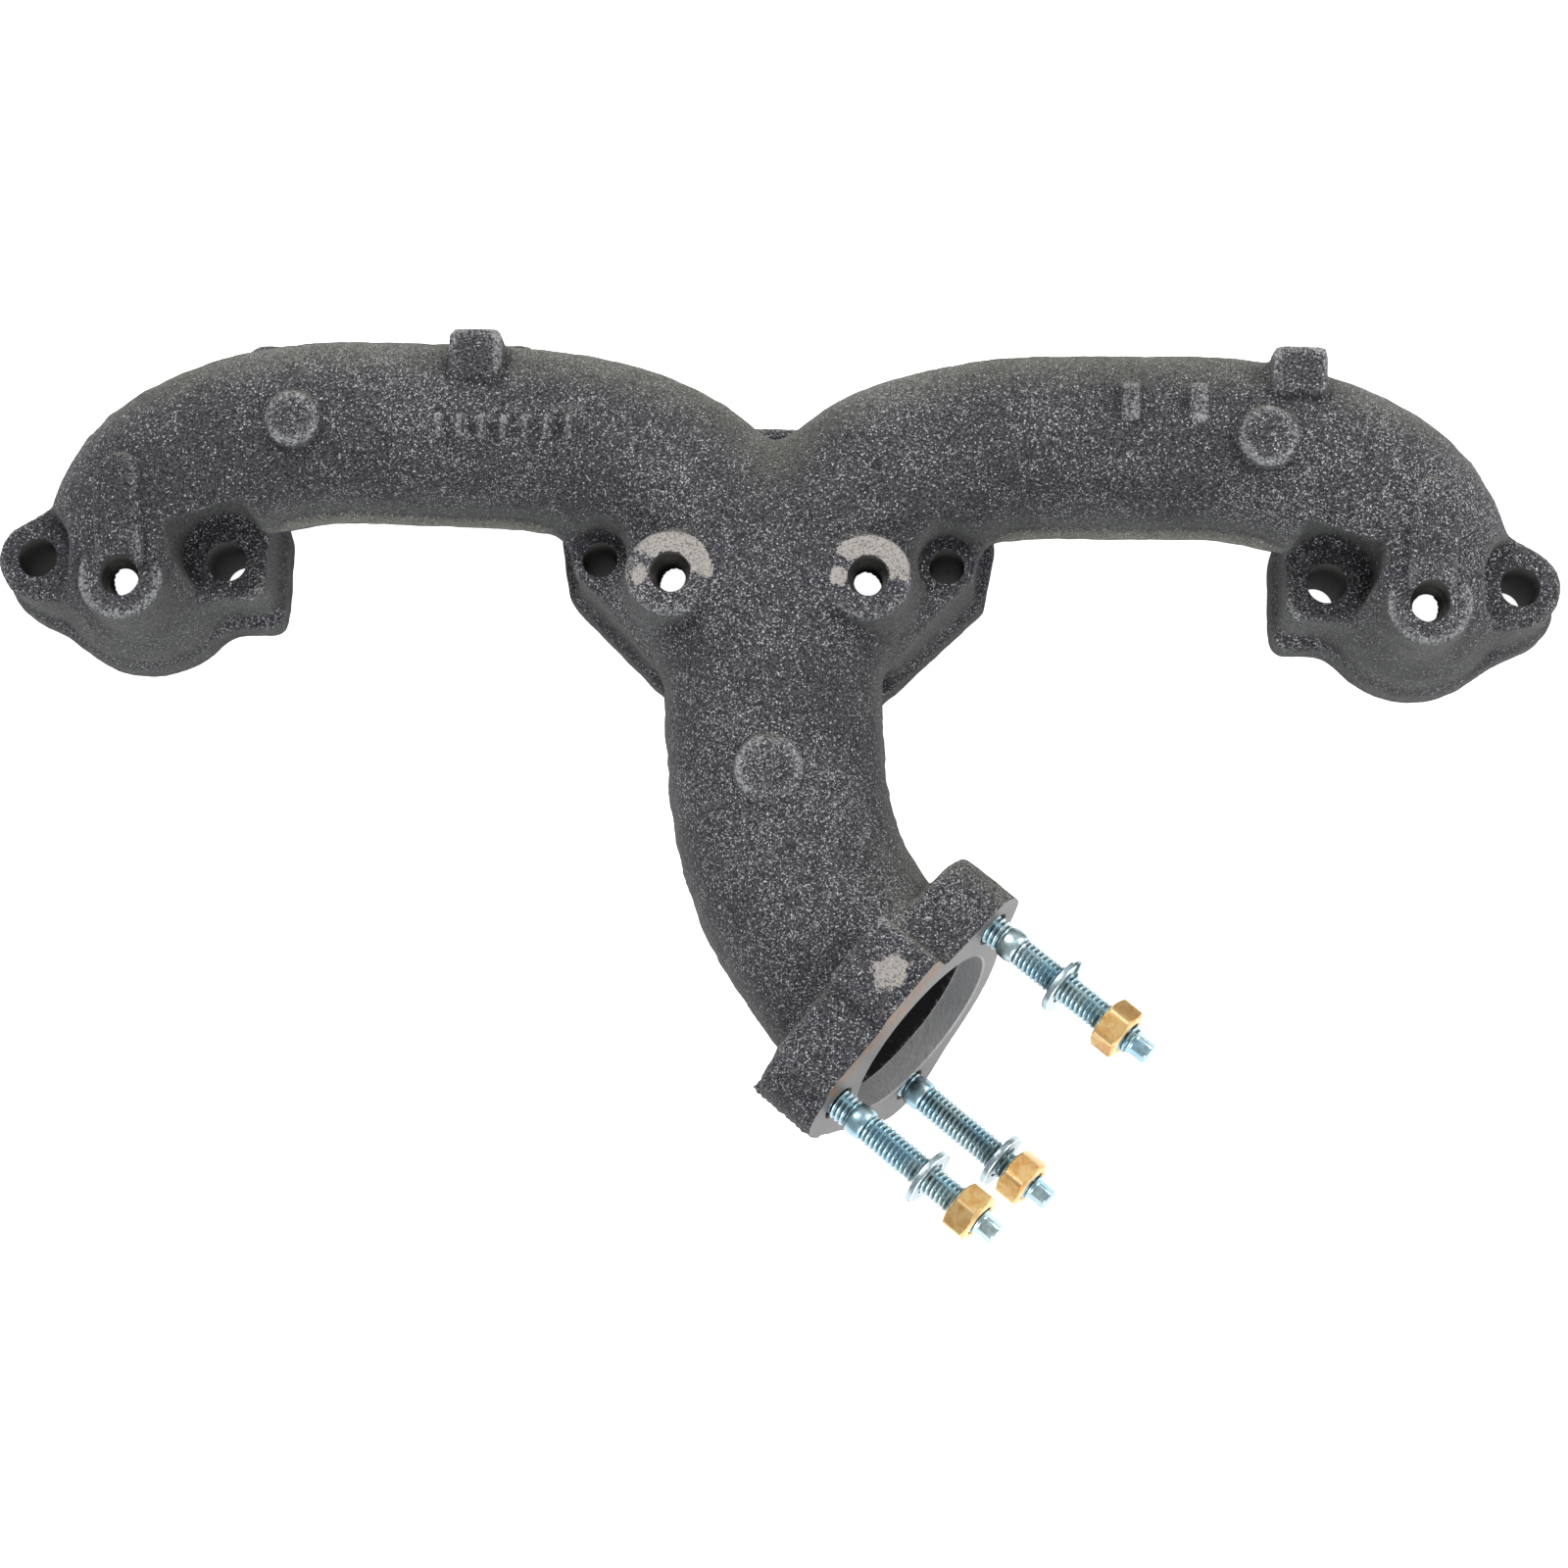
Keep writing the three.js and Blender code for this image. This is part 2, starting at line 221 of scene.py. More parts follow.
def smoothJoin(a, b, blend):
    h = np.clip(0.5 + 0.5 * (a - b) / blend, 0, 1)
    return a + (b - a) * h - blend * h * (1 - h)


def smoothCut(a, b, blend):
    return -smoothJoin(-a, b, blend)


def add(grid, shape, low, high, blend):
    cut, points = window(grid, low, high)
    grid["values"][cut] = smoothJoin(grid["values"][cut], shape(*points), blend)


def remove(grid, shape, low, high, blend):
    cut, points = window(grid, low, high)
    grid["values"][cut] = smoothCut(grid["values"][cut], shape(*points), blend)


# Lifts the surface there by a height, inside an upright box given as x0, x1, y0, y1, corner.
def emboss(grid, box, low, high, height, soften):
    cut, (x, y, z) = window(grid, low, high)
    values = grid["values"][cut]
    grid["values"][cut] = smoothJoin(values, np.maximum(values - height, boxField2(x, y, *box)), soften)


def circleField(x, y, cx, cy, r):
    return np.hypot(x - cx, y - cy) - r


def boxField2(x, y, x0, x1, y0, y1, r):
    qx = np.abs(x - (x0 + x1) / 2) - (x1 - x0) / 2 + r
    qy = np.abs(y - (y0 + y1) / 2) - (y1 - y0) / 2 + r
    return np.hypot(np.maximum(qx, 0), np.maximum(qy, 0)) + np.minimum(np.maximum(qx, qy), 0) - r


def polygonField(x, y, corners):
    x, y = np.broadcast_arrays(x, y)
    nearest = np.full(x.shape, 1e9, np.float32)
    inside = np.zeros(x.shape, bool)
    for (ax, ay), (bx, by) in zip(corners, corners[1:] + corners[:1]):
        ex, ey = bx - ax, by - ay
        wx, wy = x - ax, y - ay
        t = np.clip((wx * ex + wy * ey) / (ex * ex + ey * ey), 0, 1)
        nearest = np.minimum(nearest, (wx - ex * t) ** 2 + (wy - ey * t) ** 2)
        if ay != by:
            inside ^= ((ay > y) != (by > y)) & (x < ex * (y - ay) / ey + ax)
    return np.sqrt(nearest) * np.where(inside, -1, 1)


# An outline raised between two heights, its edges rounded.
def raised(flat, z, z0, z1, r):
    a = flat + r
    b = np.abs(z - (z0 + z1) / 2) - (z1 - z0) / 2 + r
    return np.hypot(np.maximum(a, 0), np.maximum(b, 0)) + np.minimum(np.maximum(a, b), 0) - r


def block(x0, x1, y0, y1, corner, z0, z1, edge):
    return lambda x, y, z: raised(boxField2(x, y, x0, x1, y0, y1, corner), z, z0, z1, edge)


def disc(cx, cy, r, z0, z1, edge):
    return lambda x, y, z: raised(circleField(x, y, cx, cy, r), z, z0, z1, edge)


def slab(corners, z0, z1, edge):
    return lambda x, y, z: raised(polygonField(x, y, corners), z, z0, z1, edge)


def hullOutline(circles, sides=36):
    angles = [i / sides * 2 * math.pi for i in range(sides)]
    points = sorted((cx + r * math.cos(a), cy + r * math.sin(a)) for cx, cy, r in circles for a in angles)

    def chain(run):
        out = []
        for p in run:
            while len(out) > 1:
                (ox, oy), (qx, qy) = out[-2], out[-1]
                if (qx - ox) * (p[1] - oy) - (qy - oy) * (p[0] - ox) > 1e-6:
                    break
                out.pop()
            out.append(p)
        return out[:-1]

    return chain(points) + chain(points[::-1])


# A smooth curve through the route's points, each [x, y, z, radius].
def smoothRoute(route, steps=3):
    points = np.array(route, float)
    ends = np.vstack([2 * points[0] - points[1], points, 2 * points[-1] - points[-2]])
    out = []
    for i in range(1, len(ends) - 2):
        a, b, c, d = ends[i - 1:i + 3]
        for t in np.linspace(0, 1, steps, endpoint=False):
            out.append(0.5 * (2 * b + (c - a) * t + (2 * a - 5 * b + 4 * c - d) * t * t
                              + (3 * b - a - 3 * c + d) * t ** 3))
    out.append(points[-1])
    return np.array(out)


def tubeField(route):
    line = smoothRoute(route)

    def shape(x, y, z):
        best = np.full(np.broadcast_shapes(x.shape, y.shape, z.shape), 1e9, np.float32)
        for a, b in zip(line[:-1], line[1:]):
            e = (b - a)[:3]
            t = np.clip(((x - a[0]) * e[0] + (y - a[1]) * e[1] + (z - a[2]) * e[2]) / (e @ e), 0, 1)
            d = np.sqrt((x - a[0] - e[0] * t) ** 2 + (y - a[1] - e[1] * t) ** 2 + (z - a[2] - e[2] * t) ** 2)
            best = np.minimum(best, d - (a[3] + (b[3] - a[3]) * t))
        return best

    return shape


def around(route, margin):
    points = np.array(route, float)
    reach = points[:, 3].max() + margin
    return points[:, :3].min(0) - reach, points[:, :3].max(0) + reach


# The casting
casting = {
    "voxel": 1.4,
    "armR": 26.6,
    "armZ": 48.5,
    "armY": 37.6,
    "pipeR": 31.8,
    "wall": 5.6,
    "portW": 31.0,
    "portH": 35.0,
    "flangeT": 10.5,
    "below": 5.0,            # stock under the gasket plane, cut off flat at the end
    "sandLumps": 0.26,       # mm, uneven skin left by the mould
    "partingLip": 0.5,       # mm, fin where the mould halves met
    "padRubAndHighlight": 0.05,        # how much paler the raised pads are painted: rubbed wear and painted highlight
}
ledge = {
    "x": (62.0, 154.0),
    "z": 48.0,
    "foot": 22.0,
    "back": 24.0,
    "fade": 9.0,
    "sink": 1.1,
    "proud": 1.3,
}
airBoss = {
    "outer": (193.0, -10.5, 59.0, 12.6),   # x, y, top, radius
    "inner": (28.6, -10.8, 80.5, 12.9),
    "stemW": 14.4,
    "stemTop": 24.0,
    "mouthR": 5.9,
    "tapR": 4.15,
}


def armRoute(side):
    z, y, r = casting["armZ"], casting["armY"], casting["armR"]
    x = outerPortX
    return [(side * a, b, c, d) for a, b, c, d in (
        (x, 0, -casting["below"] - 2, r + 1.2),
        (x, 0.5, 16, r + 0.9),
        (x - 1.5, 8, 34, r + 0.6),
        (x - 13, 21.5, 45, r + 0.6),
        (x - 34, 32, z, r + 0.3),
        (x - 60, y, z, r),
        (105, y, z, r),
        (72, y - 1, z, r),
        (48, y - 6, z, r + 0.6),
        (31, y - 14, z, r + 1.5),
        (18, y - 28, z, r + 2.5),
        (8, y - 48, z, r + 4),
    )]


def pipeRoute():
    z, r = casting["armZ"], casting["pipeR"]
    back = outlet["centre"] - outletAxis * 12
    out = outlet["centre"] + outletAxis * 6
    return [
        (0, 2, z, r - 0.8),
        (0.5, -18, z, r),
        (1.5, -45, z, r),
        (4, -72, z + 1, r),
        (11, -96, z + 3, r),
        (24, -117, z + 6.5, r),
        (*back, r + 0.5),
        (*out, r + 0.5),
    ]


def thinner(route, wall):
    return [(x, y, z, r - wall) for x, y, z, r in route]


# 1 along the middle of an arm's ledge, fading out towards both of its ends.
def alongArm(x):
    start, end = ledge["x"]
    x = np.abs(x)
    return np.clip((x - start) / ledge["fade"], 0, 1) * np.clip((end - x) / ledge["fade"], 0, 1)


# The upper mould half sat back a little, which leaves a ledge along the bay side of each arm.
def addLedge(grid, side):
    far, near = sorted(side * x for x in ledge["x"])
    shelf, foot = ledge["z"], ledge["foot"]
    cut, (x, y, z) = window(grid, (far, -4, foot), (near, 30, 92))
    along = alongArm(x) * np.clip((ledge["back"] - y) / 8, 0, 1)
    over = np.clip((z - shelf) / 1.2, 0, 1) * ledge["sink"]
    under = np.clip((shelf - z) / 1.2, 0, 1) * np.clip((z - foot) / 14, 0, 1) * ledge["proud"]
    grid["values"][cut] += along * (over - under)


def addOuterPort(grid, side):
    x, ear, inner = side * outerPortX, side * earBoltX, side * innerBoltX
    low, top = -casting["below"], casting["flangeT"]
    seat = head["outerSeatZ"]
    reach = (min(ear, inner) - 26, -40, low - 6), (max(ear, inner) + 26, 44, 64)
    add(grid, tubeField(armRoute(side)), *around(armRoute(side), 12), 3)
    plate = hullOutline([(ear, 0, 13.6), (x, 0, 28.3)])
    add(grid, slab(plate, low, top, 2.2), *reach, 5)
    add(grid, block(inner - 13.4, inner + 13.4, -15.5, 16, 4, low, top, 2.2), *reach, 5)
    add(grid, disc(ear, 0, 12.3, low, seat, 2.0), *reach, 7)
    add(grid, block(inner - 12.2, inner + 12.2, -11.5, 24, 5, low, seat, 2.2), *reach, 6)
    web = sorted((x, ear))
    add(grid, block(web[0], web[1], -10.5, 12, 4, low, seat, 2.5), *reach, 7)
    addLedge(grid, side)
    # bolt seats sunk into the elbow
    remove(grid, disc(inner, 1.5, 13.2, seat, 120, 3.2), *reach, 3.5)
    remove(grid, disc(ear, 0, 13.4, seat, 120, 3.2), *reach, 3)


def addCentre(grid):
    low, top = -casting["below"], casting["flangeT"]
    shoulder = [(62, 14), (60, -3), (36, -27), (-36, -27), (-60, -3), (-62, 14), (-48, 30), (48, 30)]
    lip = [(66.5, 14), (63.5, -3), (38, -28), (31, -36), (-31, -36), (-38, -28), (-63.5, -3), (-66.5, 14),
           (-65, 29), (65, 29)]
    reach = (-84, -52, low - 6), (84, 60, 92)
    add(grid, tubeField(pipeRoute()), *around(pipeRoute(), 14), 9)
    add(grid, slab(lip, low, top, 1.8), *reach, 5)
    add(grid, slab(shoulder, low, head["centreSeatZ"] + 0.6, 4.5), *reach, 8)
    # the broad saddle where both arms turn into the down pipe
    add(grid, lambda x, y, z: (np.sqrt((x / 44) ** 2 + ((y + 6) / 30) ** 2
                                       + ((z - 46.5) / 32.5) ** 2) - 1) * 33, *reach, 9)
    add(grid, block(-29, 29, 16, 45, 5, 15, 36, 3), *reach, 6)
    for side in (-1, 1):
        remove(grid, disc(side * head["centreBoltX"], 0, 8.6, head["centreSeatZ"], 120, 2.5), *reach, 5)


def addAirBosses(grid, side):
    x, y, top, r = airBoss["outer"]
    x *= side
    half = airBoss["stemW"] / 2
    reach = (x - 24, y - 24, 20), (x + 24, airBoss["stemTop"] + 8, 86)
    add(grid, disc(x, y, r, 30, top, 1.3), *reach, 2.2)
    emboss(grid, (x - half, x + half, y, airBoss["stemTop"], half - 0.3), *reach, 2.6, 0.8)
    x, y, top, r = airBoss["inner"]
    x *= side
    reach = (x - 22, y - 22, 40), (x + 22, y + 22, 92)
    add(grid, disc(x, y, r, 50, top, 1.6), *reach, 3)


padding = {
    # cast pads with no machining: flat discs (x, y, radius, top)
    "discs": ((-141, 34, 8.3, 77.4), (144, 34, 9.1, 77.4), (1.5, -68, 10, 82.8)),
    # lifting lugs on the arms' outer edge (x0, x1, y0, y1, z0, z1)
    "lugs": ((-96, -80.5, 48, 62.6, 30, 75.6), (145.3, 161.3, 47.4, 61.8, 30, 75.6)),
    # rough pads low on the head side
    "backPads": ((-162.5, -139.5, 40, 67, 22, 40), (-91.5, -73.5, 44, 68.6, 22, 40),
                 (139.5, 162.5, 40, 65.6, 22, 40)),
    "ribs": ((101.2, 106.8, 37.5, 50.5), (121.2, 126.8, 37.5, 50.5)),
    # a plain plate with evenly spaced bars in place of a pattern mark
    "plate": (-103.5, -55.5, 26, 39),
    "bars": (-99.5, 28.6, 36.4, 2.7, 6.4, 7),      # first x, y from, y to, width, pitch, count
}


def addPads(grid):
    for x, y, r, top in padding["discs"]:
        add(grid, disc(x, y, r, 58, top, 0.8),
            (x - r - 8, y - r - 8, 50), (x + r + 8, y + r + 8, 92), 1.0)
    for kind, corner, edge, blend in (("lugs", 2.6, 1.5, 1.8), ("backPads", 5, 2.4, 3.5)):
        for x0, x1, y0, y1, z0, z1 in padding[kind]:
            add(grid, block(x0, x1, y0, y1, corner, z0, z1, edge),
                (x0 - 9, y0 - 9, z0 - 9), (x1 + 9, y1 + 9, z1 + 9), blend)
    for x0, x1, y0, y1 in padding["ribs"]:
        emboss(grid, (x0, x1, y0, y1, 1.6), (x0 - 6, y0 - 6, 55), (x1 + 6, y1 + 6, 86), 2.1, 0.9)
    x0, x1, y0, y1 = padding["plate"]
    plateBox = (x0 - 6, y0 - 6, 55), (x1 + 6, y1 + 6, 86)
    emboss(grid, (x0, x1, y0, y1, 3), *plateBox, 0.9, 0.4)
    first, y0, y1, width, pitch, count = padding["bars"]
    for i in range(count):
        x = first + i * pitch
        emboss(grid, (x, x + width, y0, y1, 1.2), *plateBox, 2.0, 0.3)


def addOutletFlange(grid):
    ears = [(*studPlace(i), outlet["earR"][i]) for i in range(3)]
    core = (0, 0, 31.9)
    sides = [hullOutline([ears[0], ears[1], core]), hullOutline([ears[1], ears[2], core])]
    centre = outlet["centre"] - outletAxis * 10
    cut, (x, y, z) = window(grid, centre - Vector((62, 62, 62)), centre + Vector((62, 62, 62)))
    dx, dy, dz = (p - c for p, c in zip((x, y, z), outlet["centre"]))
    u, v, n = (dx * a.x + dy * a.y + dz * a.z for a in (outletU, outletV, outletAxis))
    back = -outlet["thickness"]
    plate = np.minimum(*(polygonField(u, v, side) for side in sides))
    values = smoothJoin(grid["values"][cut], raised(plate, n, back, 8, 3), 5)
    values = smoothJoin(values, raised(boxField2(u, v, -33.5, 15.5, 15, 38.2, 3), n, back, 8, 3), 3)
    # the square pad over the bore
    values = smoothJoin(values, raised(boxField2(u, v, -8, 15.5, 20, 40.6, 1.6), n, back - 0.8, 8, 1.6), 1.6)
    # the fin along the parting line of the flange
    fin = raised(boxField2(u, v, -44.2, -34, 13.5, 15.2, 0.7), n, back - 3.5, 8, 0.8)
    grid["values"][cut] = smoothJoin(values, fin, 1.6)


def makeHollow(grid):
    hollow = {**grid, "values": np.full_like(grid["values"], 30.0)}
    wall = casting["wall"]
    for side in (-1, 1):
        route = thinner(armRoute(side), wall)
        add(hollow, tubeField(route), *around(route, 8), 4)
        for x, top in ((side * outerPortX, 14), (side * centrePortX, casting["armZ"] - 6)):
            w, h = casting["portW"] / 2, casting["portH"] / 2
            add(hollow, block(x - w, x + w, -h, h, 8, -12, top, 4),
                (x - 30, -32, -12), (x + 30, 32, top + 12), 5)
    route = thinner(pipeRoute(), wall + 1)
    route[-2:] = [(*end[:3], outlet["boreR"] - 0.6) for end in route[-2:]]
    add(hollow, tubeField(route), *around(route, 8), 6)
    # metal stays round every bolt hole
    for side in (-1, 1):
        for x, y, r, foot in ((innerBoltX, 1, 18.4, 28), (innerBoltX, 0, 11.6, -20), (earBoltX, 0, 11.6, -20),
                              (earBoltX, 0, 18.4, 26), (head["centreBoltX"], 0, 9.4, -20),
                              (head["centreBoltX"], 0, 15, 36)):
            remove(hollow, disc(side * x, y, r, foot, 120, 2),
                   (side * x - 28, -28, -12), (side * x + 28, 32, 90), 3)
    return hollow["values"]


def makeCastingMesh():
    low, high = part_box("manifold_casting")
    pad = Vector((8, 8, 8))
    grid = makeGrid(low / mm - pad, high / mm + pad, casting["voxel"])
    for side in (-1, 1):
        addOuterPort(grid, side)
    addCentre(grid)
    addOutletFlange(grid)
    for side in (-1, 1):
        addAirBosses(grid, side)
    addPads(grid)
    hollow = makeHollow(grid)
    volume = openvdb.FloatGrid(30.0)
    volume.copyFromArray(smoothCut(grid["values"], hollow, 1.2))
    steps, quads = volume.convertToQuads(0.0)
    near = np.rint(steps).astype(int)
    inside = np.clip(1.5 - hollow[near[:, 0], near[:, 1], near[:, 2]] / casting["voxel"], 0, 1)
    points = steps.astype(float) * casting["voxel"] + np.array([axis[0] for axis in grid["axes"]])
    a, b, c, d = (points[quads[:, k]] for k in range(4))
    if np.einsum("ij,ij->i", a, np.cross(b - a, c - a) + np.cross(c - a, d - a)).sum() < 0:
        quads = quads[:, ::-1]
    return points, quads, inside


def addMask(mesh, name, values):
    mesh.attributes.new(name, "FLOAT", "POINT").data.foreach_set("value", np.asarray(values, np.float32))


def neighbourMean(values, edges, count):
    total = np.zeros((len(count),) + values.shape[1:])
    np.add.at(total, edges[:, 0], values[edges[:, 1]])
    np.add.at(total, edges[:, 1], values[edges[:, 0]])
    return total / (count if values.ndim == 1 else count[:, None])


# How far each point stands out of the skin round it: above 0 on edges, below 0 in corners.
def edgeHeights(mesh, points, normals):
    edges = np.empty(len(mesh.edges) * 2, np.int32)
    mesh.edges.foreach_get("vertices", edges)
    edges = edges.reshape(-1, 2)
    count = np.maximum(np.bincount(edges.ravel(), minlength=len(points)), 1)
    height = -np.einsum("ij,ij->i", neighbourMean(points, edges, count) - points, normals)
    for _ in range(2):
        height = neighbourMean(height, edges, count) * 0.6 + height * 0.4
    return height / casting["voxel"]


# Where the dark skin has been ground or knocked off: boss tops and the outlet pad.
def bareSpots(points):
    x, y, z = points.T
    bare = np.zeros(len(points))
    cx, cy, top, r = airBoss["inner"]
    for side in (-1, 1):
        dx, dy = x - side * cx, y - cy
        ring = np.clip((r + 0.6 - np.hypot(dx, dy)) / 2.5, 0, 1) * np.clip((z - top + 1.6) / 1.2, 0, 1)
        arc = np.clip((dy + 0.4 * dx) / 6 + 0.15, 0, 1)
        patch = np.clip(1 - np.hypot(dx + 8.6, dy + 0.5) / 5.5, 0, 1)
        bare = np.maximum(bare, ring * np.maximum(arc, patch))
    offset = points - np.array(outlet["centre"])
    u, v, n = (offset @ np.array(a) for a in (outletU, outletV, outletAxis))
    splash = np.clip(1.25 - np.hypot(u - 4.5, n + 8.5) / 6.4, 0, 1) * (v > 37)
    return np.maximum(bare, splash)


# The ledges under the arms, coloured paler and given fewer painted glints.
def ledgeSkin(points):
    x, y, z = points.T
    front = casting["armY"] - casting["armR"] + 3
    return alongArm(x) * (y < front) * (y > 2) * np.clip(1.6 - np.abs(z - ledge["z"] + 1) / 1.6, 0, 1)


def padTops(points):
    x, y, z = points.T
    tops = np.zeros(len(points))
    bosses = [(side * px, py, r, top) for px, py, top, r in (airBoss["outer"], airBoss["inner"])
              for side in (-1, 1)]
    for px, py, r, top in [*padding["discs"], *bosses]:
        tops = np.maximum(tops, (np.hypot(x - px, y - py) < r) & (z > top - 1.6))
    for x0, x1, y0, y1 in padding["ribs"]:
        tops = np.maximum(tops, (x > x0) & (x < x1) & (y > y0) & (y < y1) & (z > casting["armZ"]))
    for x0, x1, y0, y1, z0, z1 in padding["lugs"]:
        tops = np.maximum(tops, (x > x0) & (x < x1) & (y > y0 + 5) & (z > z1 - 3))
    return tops


def skinLumps(points, normals):
    lumps = np.array([noise.fractal(Vector(p) * 0.16, 0.9, 2.1, 4) for p in points])
    dents = np.array([noise.noise(Vector(p) * 0.035 + Vector((7, 3, 5))) for p in points])
    height = casting["sandLumps"] * (lumps + 1.1 * dents)
    # the fin where the mould halves met, along the outer sides
    line = casting["armZ"] + 1.2 * dents
    side = np.clip(1.4 - np.abs(normals[:, 2]) * 3, 0, 1)
    broken = np.clip(0.75 + 1.3 * lumps, 0, 1)
    height += casting["partingLip"] * np.exp(-((points[:, 2] - line) / 1.3) ** 2) * side * broken
    return height


# Round bodies are given as rows along an axis, each a list of radii round it.
def rowMesh(name, rows, heights, place, closed=False):
    count = len(rows[0])
    turn = [(math.cos(k / count * 2 * math.pi), math.sin(k / count * 2 * math.pi)) for k in range(count)]
    points = [place @ (Vector((c * r, s * r, h)) * mm)
              for row, h in zip(rows, heights) for (c, s), r in zip(turn, row)]
    faces = []
    for i in range(len(rows) - (0 if closed else 1)):
        j = (i + 1) % len(rows)
        for k in range(count):
            m = (k + 1) % count
            faces.append((i * count + k, i * count + m, j * count + m, j * count + k))
    if not closed:
        last = (len(rows) - 1) * count
        faces.append(tuple(range(count))[::-1])
        faces.append(tuple(range(last, last + count)))
    return newMesh(name, points, faces)


def latheMesh(name, profile, place, segments):
    return rowMesh(name, [[r] * segments for r, _ in profile], [h for _, h in profile], place)


def joinMeshes(name, parts):
    joined = bmesh.new()
    for part in parts:
        joined.from_mesh(part)
        bpy.data.meshes.remove(part)
    mesh = bpy.data.meshes.new(name)
    joined.to_mesh(mesh)
    joined.free()
    return mesh


# Shades a piece smooth, but keeps edges crisp where they turn sharply or the finish changes.
def crispEdges(mesh, limit, castLimit=180):
    work = bmesh.new()
    work.from_mesh(mesh)
    for face in work.faces:
        face.smooth = True
    for edge in work.edges:
        if len(edge.link_faces) == 2:
            one, two = edge.link_faces
            cast = one.material_index == 0 and two.material_index == 0
            angle = math.degrees(edge.calc_face_angle(0))
            edge.smooth = one.material_index == two.material_index and angle < (castLimit if cast else limit)
    work.to_mesh(mesh)
    work.free()


machining = {
    "holeSegments": 48,
    "boreSegments": 96,
    "threadPitch": 1.6,
    "threadDepth": 0.5,
    "mouthDepth": 6.0,       # plain mouth of an air hole, above its thread
    "studHoleR": 4.9,
    "studHoleSpare": 0.6,
}


def boxMesh(name, low, high, place=Matrix()):
    work = bmesh.new()
    corners = [work.verts.new(place @ (Vector(c) * mm)) for c in
               [(x, y, z) for x in (low[0], high[0]) for y in (low[1], high[1]) for z in (low[2], high[2])]]
    for a, b, c, d in ((0, 1, 3, 2), (4, 6, 7, 5), (0, 4, 5, 1), (2, 3, 7, 6), (0, 2, 6, 4), (1, 5, 7, 3)):
        work.faces.new([corners[k] for k in (a, b, c, d)])
    bmesh.ops.recalc_face_normals(work, faces=work.faces)
    mesh = bpy.data.meshes.new(name)
    work.to_mesh(mesh)
    work.free()
    return mesh


def airHole(x, y, top, foot):
    pitch, depth, r = machining["threadPitch"], machining["threadDepth"], airBoss["tapR"]
    shelf = top - machining["mouthDepth"]
    profile = [(airBoss["mouthR"], top + 12), (airBoss["mouthR"], shelf), (r + depth, shelf - 1.2)]
    h = shelf - 1.4
    while h > foot + 8:
        profile += [(r, h - pitch * 0.4), (r, h - pitch * 0.55), (r + depth, h - pitch * 0.9)]
        h -= pitch
    profile += [(r, h - 0.6), (r, foot)]
    return latheMesh("airHole", profile[::-1], Matrix.Translation(Vector((x, y, 0)) * mm),
                     machining["holeSegments"])


def machiningCuts():
    segments = machining["holeSegments"]
    upright = []
    for side in (-1, 1):
        for x, r in ((innerBoltX, head["outerBoltR"]), (earBoltX, head["outerBoltR"]),
                     (head["centreBoltX"], head["centreBoltR"])):
            place = Matrix.Translation(Vector((side * x, 0, 0)) * mm)
            upright.append(latheMesh("boltHole", [(r, -9), (r, 125)], place, segments))
        for x, y, top, _ in (airBoss["outer"], airBoss["inner"]):
            upright.append(airHole(side * x, y, top, casting["armZ"] - 18))
    studHoles = []
    for i in range(3):
        u, v = studPlace(i)
        r, depth = machining["studHoleR"], stud["sunk"] - studShift(i) + machining["studHoleSpare"]
        profile = [(r - 0.6, -depth), (r, 1 - depth), (r, -0.7), (r + 1.7, 1)]
        studHoles.append(latheMesh("studHole", profile, outletMatrix(u, v), segments))
    bore = [(outlet["boreR"], -outlet["boreDepth"]), (outlet["boreR"], -0.5), (outlet["boreR"] + 1.5, 1)]
    return [
        (boxMesh("gasketFaces", (-270, -150, -40), (270, 110, 0)), "machined"),
        (boxMesh("outletFace", (-75, -75, 0), (75, 75, 60), outletMatrix()), "machined"),
        (joinMeshes("uprightHoles", upright), "drilled"),
        (joinMeshes("studHoles", studHoles), "drilled"),
        (latheMesh("outletBore", bore, outletMatrix(), machining["boreSegments"]), "bored"),
    ]


def cutAway(piece, cutter, finish):
    tool = newObject(cutter.name, cutter, finish)
    cut = piece.modifiers.new("cut", "BOOLEAN")
    cut.object = tool
    cut.operation = "DIFFERENCE"
    cut.solver = "MANIFOLD"
    cut.material_mode = "TRANSFER"
    result = bpy.data.meshes.new_from_object(piece.evaluated_get(bpy.context.evaluated_depsgraph_get()))
    piece.modifiers.clear()
    old = piece.data
    piece.data = result
    bpy.data.meshes.remove(old)
    bpy.data.objects.remove(tool)
    bpy.data.meshes.remove(cutter)


def makeCasting(skin, finishes):
    points, quads, inside = makeCastingMesh()
    mesh = newMesh("manifoldCasting", points * mm, quads.tolist())
    normals = np.empty(len(points) * 3, np.float32)
    mesh.vertices.foreach_get("normal", normals)
    normals = normals.reshape(-1, 3)
    # edges and pad tops, for a lighter colour that is partly rubbed wear, partly painted highlight
    edge = edgeHeights(mesh, points, normals) + casting["padRubAndHighlight"] * padTops(points)
    bare = bareSpots(points)
    pale = ledgeSkin(points)
    low, high = (np.array(v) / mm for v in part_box("manifold_casting"))
    low[2] = -casting["below"] - 3
    points = np.clip(points + normals * skinLumps(points, normals)[:, None], low + 0.02, high - 0.02)
    mesh.vertices.foreach_set("co", (points * mm).astype(np.float32).ravel())
    for name, values in (("edge", edge), ("bare", bare), ("inside", inside), ("ledge", pale)):
        addMask(mesh, name, values)
    piece = newObject("manifoldCasting", mesh, skin)
    for cutter, finish in machiningCuts():
        cutAway(piece, cutter, finishes[finish])
    crispEdges(piece.data, 32)
    print("manifold: casting has", len(piece.data.polygons), "faces, finishes",
          [m.name for m in piece.data.materials])
    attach(piece, "casting")
    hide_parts("manifold_casting")
    return piece


